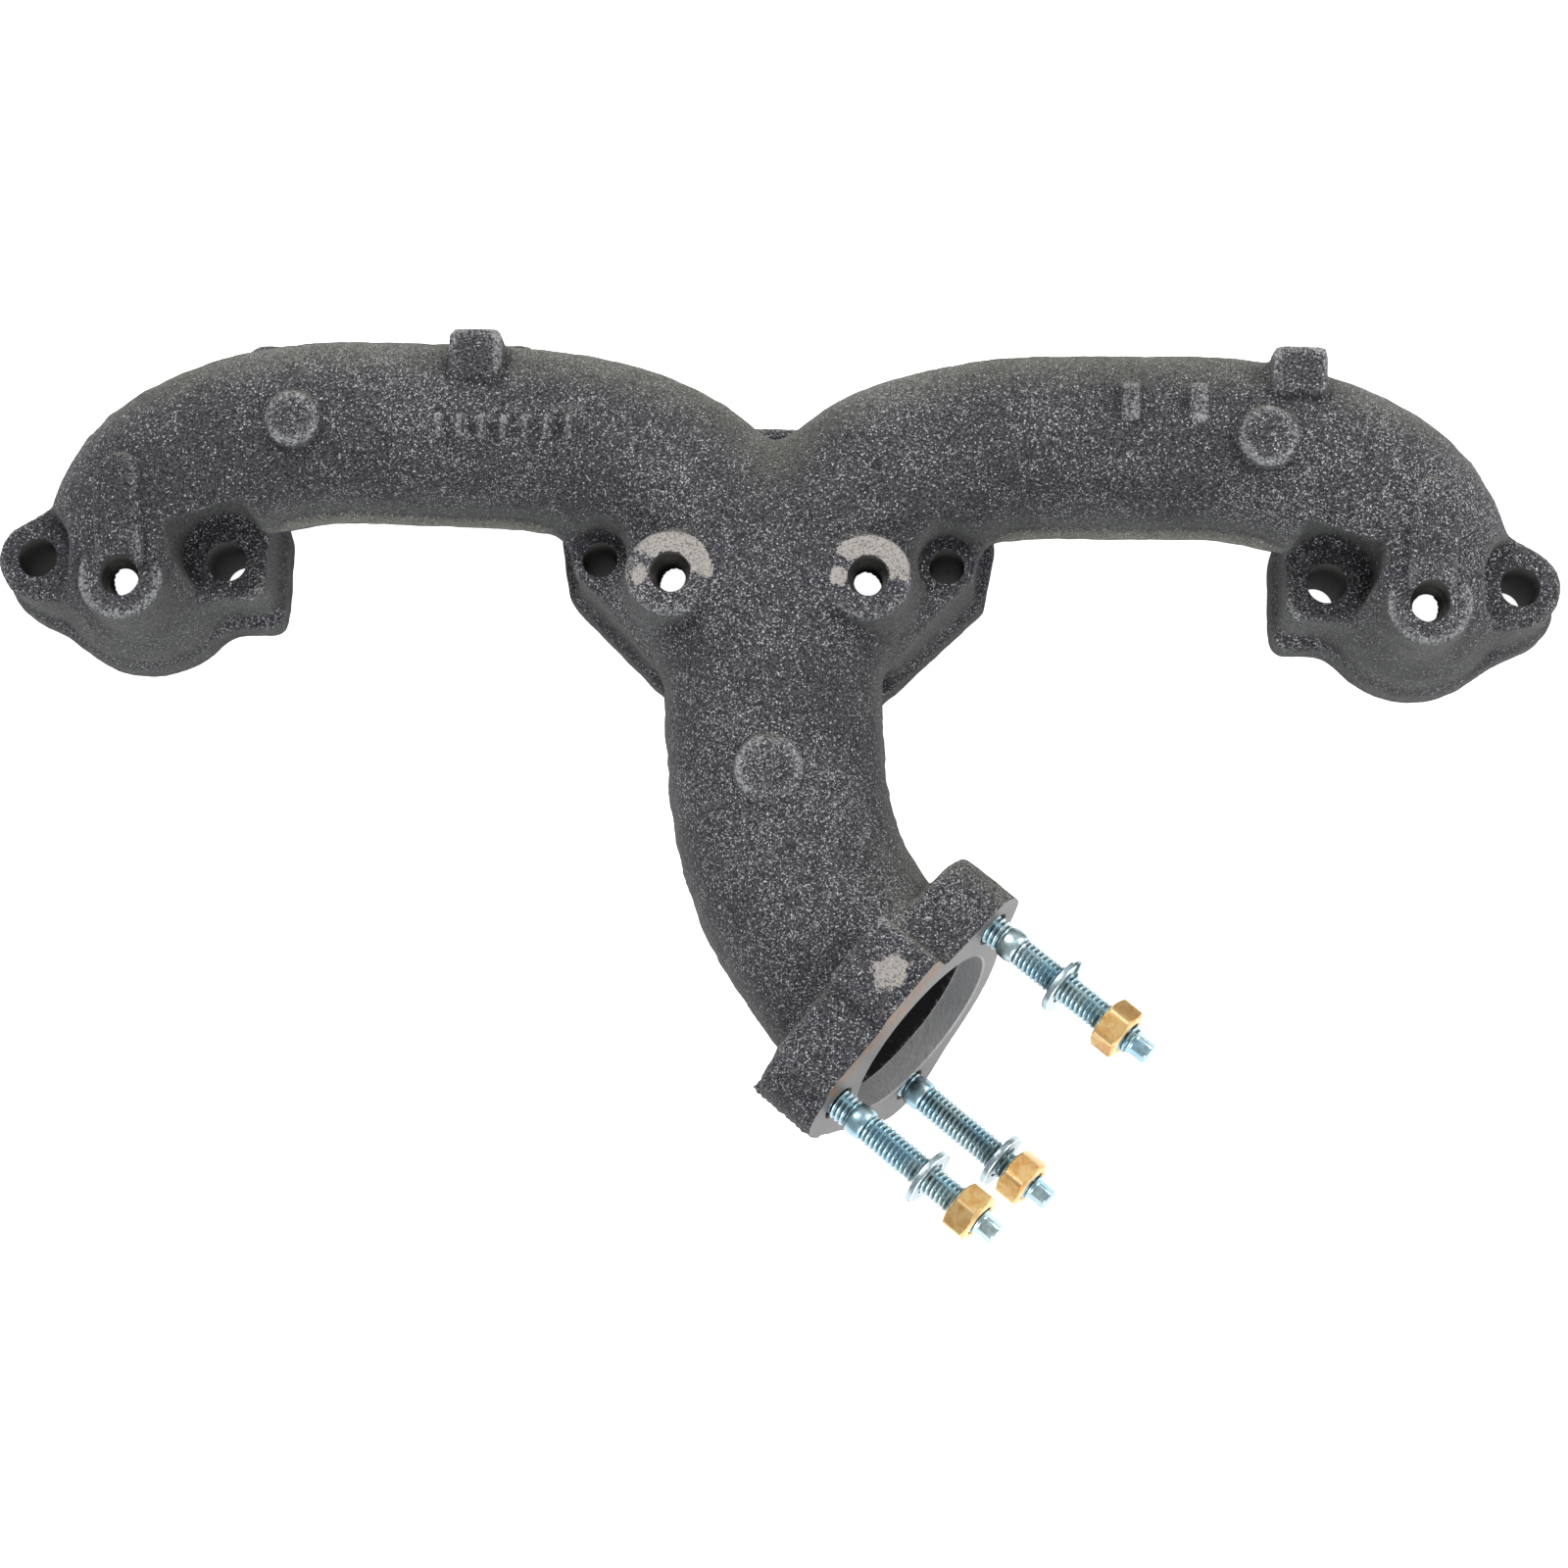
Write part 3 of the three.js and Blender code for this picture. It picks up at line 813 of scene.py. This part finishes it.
# The three outlet studs, with rolled threads, a smooth shoulder and a small drive tip.
stud = {
    "threadPitch": 1.5875,
    "crestR": 4.58,
    "rootR": 3.82,
    "sunk": 14.0,            # how far the plain end sits in the flange
    "shoulder": (4.6, 10.2),     # mm out of the face
    "shoulderR": 4.95,
    "threadEnd": 51.6,
    "tipR": 3.22,
    "tipFlute": 0.26,
    "tipEnd": 57.55,
    "rowsPerThread": 10,
    "segments": 40,
}


def threadRows(start, end, runOut):
    # rolled 60 degree thread: flat crest, rounded root, fading out at both ends
    pitch, crest, root = stud["threadPitch"], stud["crestR"], stud["rootR"]
    count = stud["segments"]
    step = pitch / stud["rowsPerThread"]
    rows, heights = [], []
    for h in np.arange(start, end + step / 2, step):
        fadeIn = min(max((h - start) / runOut, 0), 1, max((end - h) / runOut, 0))
        row = []
        for k in range(count):
            turn = (h / pitch - k / count) % 1
            valley = min(max((0.5 - abs(turn - 0.5)) / 0.42 - 0.12, 0), 1)
            row.append(root + (crest - root) * valley * (0.35 + 0.65 * fadeIn))
        rows.append(row)
        heights.append(float(h))
    return rows, heights


def studRows():
    count = stud["segments"]
    root, crest = stud["rootR"], stud["crestR"]
    low, high = stud["shoulder"]
    rows = [[root - 0.5] * count, [root] * count]
    heights = [-stud["sunk"], -stud["sunk"] + 0.8]
    for start, end in ((-1.6, low), (high, stud["threadEnd"])):
        threads, places = threadRows(start, end, 1.1)
        rows += threads
        heights += places
        if end == low:
            # the shoulder swells out between the two threads
            for t in np.linspace(0.06, 0.94, 12):
                r = crest - 0.25 + (stud["shoulderR"] - crest + 0.25) * math.sin(math.pi * t) ** 0.6
                rows.append([r] * count)
                heights.append(low + (high - low) * float(t))
    end, tip = stud["threadEnd"], stud["tipR"]
    for out, r in ((0.25, root), (0.5, tip + 0.25), (0.7, tip)):
        rows.append([r] * count)
        heights.append(end + out)
    last = stud["tipEnd"]
    for h, shrink in ((end + 1.3, 0), (last - 0.5, 0), (last - 0.2, 0.12), (last, 0.42)):
        rows.append([tip - shrink - stud["tipFlute"] * (0.5 - 0.5 * math.cos(6 * 2 * math.pi * k / count))
                     for k in range(count)])
        heights.append(h)
    return rows, heights


# How far along its stud a fastener sits, in mm out of the outlet face.
def alongStud(node):
    low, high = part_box(node)
    return ((Vector(low) + Vector(high)) / 2 / mm - outlet["centre"]).dot(outletAxis)


# No two studs were driven in to quite the same depth.
def studShift(i):
    return alongStud(f"outlet_stud_{i + 1}") - alongStud("outlet_stud_1")


def makeStud(i, finish):
    rows, heights = studRows()
    mesh = rowMesh(f"outletStud{i + 1}", rows, heights, outletMatrix(*studPlace(i), studShift(i)))
    piece = newObject(mesh.name, mesh, finish)
    # how deep each point lies in the thread, for the painted shade in the roots
    depth = [(stud["crestR"] - r) / (stud["crestR"] - stud["rootR"]) if h < stud["threadEnd"] else 0
             for row, h in zip(rows, heights) for r in row]
    addMask(mesh, "groove", np.clip(depth, 0, 1))
    crispEdges(mesh, 50, 50)
    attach(piece, "casting")
    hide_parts(f"outlet_stud_{i + 1}")


# The split lock washers, sprung a little out of flat at the cut.
washer = {
    "innerR": 5.3,
    "outerR": 8.6,
    "thickness": 2.2,
    "cornerR": 0.35,
    "spring": 0.3,           # rise at each cut end
    "gapAngle": 9.0,         # degrees
    "turn": (40.0, 170.0, 300.0),
    "segments": 72,
}


def washerSection():
    # keystone section with rounded corners, as (radius, height)
    r0, r1, half, c = washer["innerR"], washer["outerR"], washer["thickness"] / 2, washer["cornerR"]
    inner = half + 0.05
    outer = half - 0.05
    corners = ((r1 - c, outer - c, 0), (r0 + c, inner - c, 90),
               (r0 + c, c - inner, 180), (r1 - c, c - outer, 270))
    return [(r + c * math.cos(math.radians(a + t)), h + c * math.sin(math.radians(a + t)))
            for r, h, a in corners for t in (0, 30, 60, 90)]


def makeWasher(i, finish):
    node = f"lock_washer_{i + 1}"
    place = outletMatrix(*studPlace(i), alongStud(node))
    section = washerSection()
    gap = math.radians(washer["gapAngle"])
    start = math.radians(washer["turn"][i]) + gap / 2
    count = washer["segments"]
    points, edge = [], []
    for k in range(count + 1):
        t = k / count
        angle = start + (2 * math.pi - gap) * t
        rise = washer["spring"] * (2 * t - 1) ** 3
        points += [place @ (Vector((r * math.cos(angle), r * math.sin(angle), h + rise)) * mm)
                   for r, h in section]
        edge += [1.0 if n % 4 in (1, 2) else 0.0 for n in range(len(section))]
    size = len(section)
    faces = [(a * size + n, (a + 1) * size + n, (a + 1) * size + (n + 1) % size, a * size + (n + 1) % size)
             for a in range(count) for n in range(size)]
    faces += [tuple(range(size)), tuple(range(count * size, (count + 1) * size))[::-1]]
    mesh = newMesh(f"lockWasher{i + 1}", points, faces)
    addMask(mesh, "edge", edge)
    piece = newObject(mesh.name, mesh, finish)
    crispEdges(mesh, 50, 50)
    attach(piece, f"washer_{i + 1}")
    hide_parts(node)


# The brass nuts, chamfered at both ends.
nut = {
    "acrossFlats": 14.25,
    "height": 8.4,
    "boreR": 4.85,
    "boreChamfer": 0.55,
    "endR": 5.95,            # where the end chamfer starts on the end face
    "chamferSlope": 0.56,
    "cornerRound": 0.35,
    "turn": (12.0, 29.0, 46.0),
    "segments": 96,
}


def nutRows():
    count = nut["segments"]
    half, flat, soft = nut["height"] / 2, nut["acrossFlats"] / 2, nut["cornerRound"]
    side = []
    for k in range(count):
        away = abs((k / count * 360) % 60 - 30)
        reach = flat / math.cos(math.radians(away))
        corner = flat / math.cos(math.radians(30)) - soft
        side.append(reach if reach < corner else corner + (reach - corner) * 0.45)
    bore, chamfer = nut["boreR"], nut["boreChamfer"]
    rows = [[bore] * count, [bore + chamfer] * count, [nut["endR"]] * count]
    heights = [-half + chamfer, -half, -half]
    steps = (0.08, 0.2, 0.35, 0.5, 0.7, 0.9, 1.1)
    for h in [-half + s for s in steps] + [half - s for s in steps[::-1]]:
        cone = nut["endR"] + 0.1 + (half - abs(h)) / nut["chamferSlope"]
        rows.append([min(r, cone) for r in side])
        heights.append(h)
    rows += [[nut["endR"]] * count, [bore + chamfer] * count, [bore] * count]
    heights += [half, half, half - chamfer]
    return rows, heights


def makeNut(i, finish):
    node = f"outlet_nut_{i + 1}"
    place = outletMatrix(*studPlace(i), alongStud(node))
    place = place @ Matrix.Rotation(math.radians(nut["turn"][i]), 4, "Z")
    rows, heights = nutRows()
    mesh = rowMesh(f"outletNut{i + 1}", rows, heights, place, closed=True)
    piece = newObject(mesh.name, mesh, finish)
    flat = nut["acrossFlats"] / 2
    # how near each point is to a corner or an end
    edge = [max(min(max((r / flat - 1.09) / 0.04, 0), 1),
                min(max((abs(h) / nut["height"] * 2 - 0.84) / 0.1, 0), 1))
            for row, h in zip(rows, heights) for r in row]
    addMask(mesh, "edge", edge)
    crispEdges(mesh, 24, 24)
    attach(piece, f"nut_{i + 1}")
    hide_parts(node)


# Finishes
print("manifold: finishes")


def addNode(tree, kind, values=None, **settings):
    made = tree.nodes.new("ShaderNode" + kind)
    for name, value in settings.items():
        setattr(made, name, value)
    setInputs(tree, made, values or {})
    return made


def maths(tree, operation, *values):
    return addNode(tree, "Math", dict(enumerate(values)), operation=operation).outputs[0]


def times(tree, a, b):
    return maths(tree, "MULTIPLY", a, b)


def noiseNode(tree, vector, scale, detail, roughness=0.5, distortion=0.0):
    return addNode(tree, "TexNoise", {"Vector": vector, "Scale": scale, "Detail": detail,
                                      "Roughness": roughness, "Distortion": distortion})


# Fades from 0 to 1 as a value goes from low to high.
def fade(tree, value, low, high):
    return addNode(tree, "MapRange", {"Value": value, "From Min": low, "From Max": high},
                   interpolation_type="SMOOTHSTEP").outputs["Result"]


def blendColour(tree, factor, a, b):
    return addNode(tree, "Mix", {0: factor, 6: a, 7: b}, data_type="RGBA").outputs[2]


def newGroup(name, inputs, outputs):
    group = bpy.data.node_groups.new(name, "ShaderNodeTree")
    for label, kind, value in inputs:
        socket = group.interface.new_socket(name=label, in_out="INPUT", socket_type="NodeSocket" + kind)
        if value is not None:
            socket.default_value = value
    for label, kind in outputs:
        group.interface.new_socket(name=label, in_out="OUTPUT", socket_type="NodeSocket" + kind)
    return group, group.nodes.new("NodeGroupInput").outputs, group.nodes.new("NodeGroupOutput").inputs


def useGroup(tree, group, values):
    made = tree.nodes.new("ShaderNodeGroup")
    made.node_tree = group
    setInputs(tree, made, values)
    return made.outputs


# Grains of sand left in the skin: bright facets as painted glints, dark pits and broad patches.
def makeSandGrainAndPaintedGlint():
    group, given, result = newGroup(
        "sandGrainAndPaintedGlint",
        [("Vector", "Vector", None), ("Size", "Float", 0.8), ("Density", "Float", 0.3),
         ("Patch Size", "Float", 45)],
        [("Painted Glint", "Float"), ("Grit", "Float"), ("Patch", "Float"), ("Height", "Float")])
    fine = maths(group, "DIVIDE", 1.0, given["Size"])
    grit = noiseNode(group, given["Vector"], fine, 4.0, 0.7)
    # the cells are pushed about, so that no two facets look alike
    push = addNode(group, "VectorMath", {0: grit.outputs["Color"], "Scale": 1.3},
                   operation="SCALE").outputs[0]
    pushed = addNode(group, "VectorMath", {0: given["Vector"], 1: push}, operation="ADD").outputs[0]
    cells = addNode(group, "TexVoronoi", {"Vector": pushed, "Scale": times(group, fine, 1.25)})
    patchScale = maths(group, "DIVIDE", 1.0, given["Patch Size"])
    patch = noiseNode(group, given["Vector"], patchScale, 5.0, 0.62)
    chance = addNode(group, "SeparateColor", {"Color": cells.outputs["Color"]})
    patchy = fade(group, patch.outputs["Fac"], 0.34, 0.66)
    limit = maths(group, "SUBTRACT", 1.0, times(group, given["Density"],
                                                maths(group, "MULTIPLY_ADD", patchy, 1.1, 0.25)))
    chosen = maths(group, "GREATER_THAN", chance.outputs[0], limit)
    facet = fade(group, cells.outputs["Distance"], 0.6, 0.15)
    shine = maths(group, "MULTIPLY_ADD", chance.outputs[1], 0.75, 0.25)
    # painted highlight: the glints of bright facets, painted into the colour
    group.links.new(times(group, times(group, chosen, facet), shine), result["Painted Glint"])
    group.links.new(grit.outputs["Fac"], result["Grit"])
    group.links.new(patchy, result["Patch"])
    group.links.new(maths(group, "MULTIPLY_ADD", facet, 0.45, grit.outputs["Fac"]), result["Height"])
    return group


# Edges and raised places made lighter, broken up by noise: partly rubbed wear, partly painted highlight.
def makeEdgeWearAndHighlight():
    group, given, result = newGroup(
        "edgeWearAndHighlight",
        [("Vector", "Vector", None), ("Edge", "Float", 0.0), ("Start", "Float", 0.05), ("Full", "Float", 0.3),
         ("Break Up", "Float", 0.5), ("Size", "Float", 2.0)],
        [("Mask", "Float")])
    scale = maths(group, "DIVIDE", 1.0, given["Size"])
    flakes = noiseNode(group, given["Vector"], scale, 4.0, 0.7).outputs["Fac"]
    rough = times(group, maths(group, "SUBTRACT", flakes, 0.5), given["Break Up"])
    group.links.new(fade(group, maths(group, "ADD", given["Edge"], rough), given["Start"], given["Full"]),
                    result["Mask"])
    return group


# Long fine scratches left by a cutter or a brush, along one axis.
def makeToolMarks():
    group, given, result = newGroup(
        "toolMarks",
        [("Vector", "Vector", None), ("Stretch", "Vector", (1, 1, 1)), ("Size", "Float", 0.5)],
        [("Shade", "Float"), ("Height", "Float")])
    stretched = addNode(group, "VectorMath", {0: given["Vector"], 1: given["Stretch"]},
                        operation="MULTIPLY").outputs[0]
    marks = noiseNode(group, stretched, maths(group, "DIVIDE", 1.0, given["Size"]), 5.0, 0.6).outputs["Fac"]
    group.links.new(marks, result["Height"])
    group.links.new(fade(group, marks, 0.3, 0.7), result["Shade"])
    return group


# Thin brown rust in freckles and runs.
def makeRustFreckles():
    group, given, result = newGroup(
        "rustFreckles",
        [("Vector", "Vector", None), ("Where", "Float", 0.0), ("Size", "Float", 3.0)],
        [("Mask", "Float"), ("Color", "Color")])
    scale = maths(group, "DIVIDE", 1.0, given["Size"])
    bloom = noiseNode(group, given["Vector"], scale, 6.0, 0.7).outputs["Fac"]
    spread = fade(group, maths(group, "ADD", bloom, times(group, given["Where"], 0.5)), 0.74, 0.92)
    group.links.new(spread, result["Mask"])
    group.links.new(blendColour(group, fade(group, bloom, 0.35, 0.7), (0.075, 0.036, 0.018, 1),
                                (0.21, 0.105, 0.05, 1)), result["Color"])
    return group


sandGrainAndPaintedGlint = makeSandGrainAndPaintedGlint()
edgeWearAndHighlight = makeEdgeWearAndHighlight()
toolMarks = makeToolMarks()
rustFreckles = makeRustFreckles()


def newMaterial(name):
    material = bpy.data.materials.new(name)
    material.use_nodes = True
    tree = material.node_tree
    shader = tree.nodes["Principled BSDF"]
    place = addNode(tree, "TexCoord")
    millimetres = addNode(tree, "VectorMath", {0: place.outputs["Object"], "Scale": 1000.0},
                          operation="SCALE").outputs[0]
    return material, tree, shader, millimetres, place


def setShader(tree, shader, colour, gloss, bump, **plain):
    height, strength, distance = bump
    made = addNode(tree, "Bump", {"Height": height, "Strength": strength, "Distance": distance})
    setInputs(tree, shader, {"Base Color": colour, "Roughness": gloss, "Normal": made.outputs["Normal"],
                             **plain})


def glossOf(tree, value, change, start):
    return maths(tree, "MULTIPLY_ADD", value, change, start)


def mask(tree, name):
    return addNode(tree, "Attribute", attribute_name=name).outputs["Fac"]


def wearAndHighlightMask(tree, place, edge, start, full, breakUp, size):
    return useGroup(tree, edgeWearAndHighlight, {"Vector": place, "Edge": edge, "Start": start, "Full": full,
                                     "Break Up": breakUp, "Size": size})["Mask"]


castFinish = {
    "grainSize": 0.62,                 # mm
    "paintedGlintDensity": 0.36,
    "dark": (0.007, 0.007, 0.009, 1),
    "mid": (0.088, 0.087, 0.096, 1),
    # painted highlight: the colour of the painted glints
    "paintedGlint": (0.74, 0.75, 0.78, 1),
    "steep": (0.074, 0.076, 0.069, 1),
    "headSide": (0.100, 0.102, 0.080, 1),
    "ledge": (0.140, 0.142, 0.122, 1),
    # partly rubbed wear, partly painted highlight on edges and pad tops
    "edge": (0.33, 0.335, 0.335, 1),
    "bareMetal": (0.26, 0.245, 0.23, 1),
    # painted shade: the colour of the inner walls of the hollow
    "inside": (0.008, 0.008, 0.009, 1),
}


def makeCastIron():
    look = castFinish
    material, tree, shader, mmPlace, place = newMaterial("sandCastIron")
    grain = useGroup(tree, sandGrainAndPaintedGlint, {"Vector": mmPlace, "Size": look["grainSize"],
                                       "Density": look["paintedGlintDensity"]})
    colour = blendColour(tree, fade(tree, grain["Grit"], 0.40, 0.70), look["dark"], look["mid"])
    # steep sides are coloured greyer and carry fewer painted glints
    facing = addNode(tree, "SeparateXYZ", {0: place.outputs["Normal"]}).outputs
    steep = fade(tree, maths(tree, "ABSOLUTE", facing["Z"]), 0.62, 0.15)
    colour = blendColour(tree, times(tree, steep, 0.4), colour, look["steep"])
    # and a little green on the head side, with the sand grain showing through
    green = times(tree, fade(tree, facing["Y"], 0.25, 0.8), fade(tree, grain["Grit"], 0.35, 0.6))
    colour = blendColour(tree, times(tree, green, 0.7), colour, look["headSide"])
    edge = mask(tree, "edge")
    # painted shade: creases and hollows of the skin painted darker
    hollow = fade(tree, edge, 0.0, -0.12)
    colour = blendColour(tree, times(tree, hollow, 0.75), colour, look["dark"])
    ledgeMask = times(tree, mask(tree, "ledge"), fade(tree, grain["Grit"], 0.28, 0.5))
    colour = blendColour(tree, times(tree, ledgeMask, 0.85), colour, look["ledge"])
    dull = maths(tree, "MAXIMUM", maths(tree, "MAXIMUM", steep, green), ledgeMask)
    # painted glints, fewer on the steep sides, the head side and the ledges
    paintedGlint = times(tree, grain["Painted Glint"], maths(tree, "MULTIPLY_ADD", dull, -0.6, 1.0))
    colour = blendColour(tree, times(tree, paintedGlint, 0.8), colour, look["paintedGlint"])
    # edges and pad tops painted lighter: partly rubbed wear, partly painted highlight
    rubbedAndHighlit = wearAndHighlightMask(tree, mmPlace, edge, 0.08, 0.28, 0.62, 0.9)
    colour = blendColour(tree, times(tree, rubbedAndHighlit, 0.65), colour, look["edge"])
    bare = wearAndHighlightMask(tree, mmPlace, mask(tree, "bare"), 0.42, 0.56, 1.7, 4.5)
    mottle = times(tree, fade(tree, grain["Grit"], 0.36, 0.52),
                   maths(tree, "MULTIPLY_ADD", grain["Painted Glint"], -0.4, 1.0))
    bareColour = blendColour(tree, mottle, look["steep"], look["bareMetal"])
    colour = blendColour(tree, bare, colour, bareColour)
    rust = useGroup(tree, rustFreckles, {"Vector": mmPlace, "Where": 0.0, "Size": 7.0})
    colour = blendColour(tree, times(tree, rust["Mask"], 0.4), colour, rust["Color"])
    # painted shade: the inner walls of the hollow painted near black
    colour = blendColour(tree, mask(tree, "inside"), colour, look["inside"])
    gloss = glossOf(tree, bare, -0.2, glossOf(tree, paintedGlint, -0.25, 0.78))
    setShader(tree, shader, colour, gloss, (grain["Height"], 0.7, 0.0005), **{"Specular IOR Level": 0.16})
    return material


machinedFinish = {
    "metal": (0.079, 0.079, 0.080, 1),
    "bright": (0.121, 0.120, 0.117, 1),
    "markSize": 0.35,                  # mm
}
# painted light: the bore walls are painted brighter than the face, to offset the shade they lie in
boredPaintedLightFinish = {
    "metal": (0.215, 0.215, 0.22, 1),
    "bright": (0.31, 0.31, 0.31, 1),
    "markSize": 0.5,
}
# painted shade: the drilled holes are painted dark, with rust freckles
drilledPaintedShadeFinish = {
    "metal": (0.030, 0.030, 0.030, 1),
    "bright": (0.075, 0.072, 0.066, 1),
    "markSize": 0.6,
}


def makeMachinedIron(name, look):
    material, tree, shader, mmPlace, _ = newMaterial(name)
    marks = useGroup(tree, toolMarks, {"Vector": mmPlace, "Stretch": (1, 0.15, 1), "Size": look["markSize"]})
    colour = blendColour(tree, marks["Shade"], look["metal"], look["bright"])
    # how far up the outlet face, for the brown edge left there
    offset = addNode(tree, "VectorMath", {0: mmPlace, 1: outlet["centre"]}, operation="SUBTRACT").outputs[0]
    rise = addNode(tree, "VectorMath", {0: offset, 1: outletV}, operation="DOT_PRODUCT").outputs["Value"]
    out = addNode(tree, "VectorMath", {0: offset, 1: outletAxis}, operation="DOT_PRODUCT").outputs["Value"]
    ragged = noiseNode(tree, mmPlace, 0.28, 5.0, 0.7).outputs["Fac"]
    rise = maths(tree, "ADD", rise, times(tree, maths(tree, "SUBTRACT", ragged, 0.5), 26.0))
    brown = times(tree, fade(tree, rise, 27.0, 35.0), fade(tree, out, -0.3, -0.1))
    brown = times(tree, brown, 0.8)
    rust = useGroup(tree, rustFreckles, {"Vector": mmPlace, "Where": brown, "Size": 2.5})
    colour = blendColour(tree, times(tree, rust["Mask"], 0.85), colour, rust["Color"])
    setShader(tree, shader, colour, glossOf(tree, marks["Shade"], 0.15, 0.42),
              (marks["Height"], 0.25, 0.0002), Metallic=0.35)
    return material


zincFinish = {
    "bright": (0.27, 0.42, 0.49, 1),
    "clear": (0.38, 0.48, 0.50, 1),
    # painted shade in the thread roots
    "root": (0.055, 0.09, 0.105, 1),
    "roughness": 0.3,
}


def makeZinc():
    look = zincFinish
    material, tree, shader, mmPlace, _ = newMaterial("blueZinc")
    marks = useGroup(tree, toolMarks, {"Vector": mmPlace, "Stretch": (1, 1, 1), "Size": 1.6})
    tint = noiseNode(tree, mmPlace, 0.09, 2.0).outputs["Fac"]
    colour = blendColour(tree, fade(tree, tint, 0.42, 0.62), look["bright"], look["clear"])
    # painted shade: the thread roots painted darker
    colour = blendColour(tree, times(tree, fade(tree, mask(tree, "groove"), 0.35, 1.0), 0.85),
                         colour, look["root"])
    setShader(tree, shader, colour, glossOf(tree, marks["Shade"], 0.16, look["roughness"] - 0.06),
              (marks["Height"], 0.06, 0.0001), Metallic=0.95)
    return material


washerFinish = {
    "metal": (0.30, 0.39, 0.43, 1),
    # partly rubbed wear, partly painted highlight on the rounded corners
    "edge": (0.60, 0.66, 0.68, 1),
    "roughness": 0.26,
}


def makeWasherSteel():
    look = washerFinish
    material, tree, shader, mmPlace, _ = newMaterial("platedSpringSteel")
    marks = useGroup(tree, toolMarks, {"Vector": mmPlace, "Stretch": (1, 1, 0.3), "Size": 0.8})
    # rounded corners painted lighter: partly rubbed wear, partly painted highlight
    rubbedAndHighlit = wearAndHighlightMask(tree, mmPlace, mask(tree, "edge"), 0.3, 0.8, 0.5, 1.0)
    colour = blendColour(tree, times(tree, marks["Shade"], 0.3), look["metal"], look["edge"])
    colour = blendColour(tree, rubbedAndHighlit, colour, look["edge"])
    setShader(tree, shader, colour, glossOf(tree, marks["Shade"], 0.12, look["roughness"]),
              (marks["Height"], 0.15, 0.0002), Metallic=0.95)
    return material


brassFinish = {
    "gold": (0.62, 0.42, 0.17, 1),
    "orange": (0.47, 0.235, 0.06, 1),
    # partly rubbed wear, partly painted highlight on the corners and chamfered ends
    "pale": (0.70, 0.55, 0.32, 1),
    "roughness": 0.3,
}


def makeBrass():
    look = brassFinish
    material, tree, shader, mmPlace, _ = newMaterial("passivatedBrass")
    stain = noiseNode(tree, mmPlace, 0.22, 5.0, 0.62, 0.6).outputs["Fac"]
    marks = useGroup(tree, toolMarks, {"Vector": mmPlace, "Stretch": (1, 0.3, 1), "Size": 0.7})
    colour = blendColour(tree, fade(tree, stain, 0.38, 0.6), look["gold"], look["orange"])
    colour = blendColour(tree, times(tree, marks["Shade"], 0.25), colour, look["pale"])
    # corners and ends painted paler: partly rubbed wear, partly painted highlight
    rubbedAndHighlit = wearAndHighlightMask(tree, mmPlace, mask(tree, "edge"), 0.25, 0.85, 0.6, 1.2)
    colour = blendColour(tree, times(tree, rubbedAndHighlit, 0.6), colour, look["pale"])
    setShader(tree, shader, colour, glossOf(tree, stain, 0.25, look["roughness"] - 0.08),
              (marks["Height"], 0.2, 0.0002), Metallic=0.85)
    return material


# Drilled holes: the dark colour is painted shade, with rust freckles over it.
def makeDrilledIronPaintedShade():
    look = drilledPaintedShadeFinish
    material, tree, shader, mmPlace, _ = newMaterial("drilledIronPaintedShade")
    marks = useGroup(tree, toolMarks, {"Vector": mmPlace, "Stretch": (0.3, 0.3, 1), "Size": look["markSize"]})
    rust = useGroup(tree, rustFreckles, {"Vector": mmPlace, "Where": 0.1, "Size": 4.0})
    colour = blendColour(tree, marks["Shade"], look["metal"], look["bright"])
    colour = blendColour(tree, times(tree, rust["Mask"], 0.5), colour, rust["Color"])
    setShader(tree, shader, colour, glossOf(tree, marks["Shade"], 0.2, 0.5),
              (marks["Height"], 0.3, 0.0003), **{"Specular IOR Level": 0.2})
    return material


castIron = makeCastIron()
drilledIronPaintedShade = makeDrilledIronPaintedShade()
machinedIron = makeMachinedIron("machinedIron", machinedFinish)
boredIronPaintedLight = makeMachinedIron("boredIronPaintedLight", boredPaintedLightFinish)
blueZinc = makeZinc()
platedSteel = makeWasherSteel()
brass = makeBrass()

print("manifold: casting")
makeCasting(castIron, {"machined": machinedIron, "drilled": drilledIronPaintedShade, "bored": boredIronPaintedLight})

print("manifold: studs, washers and nuts")
for i in range(3):
    makeStud(i, blueZinc)
    makeWasher(i, platedSteel)
    makeNut(i, brass)
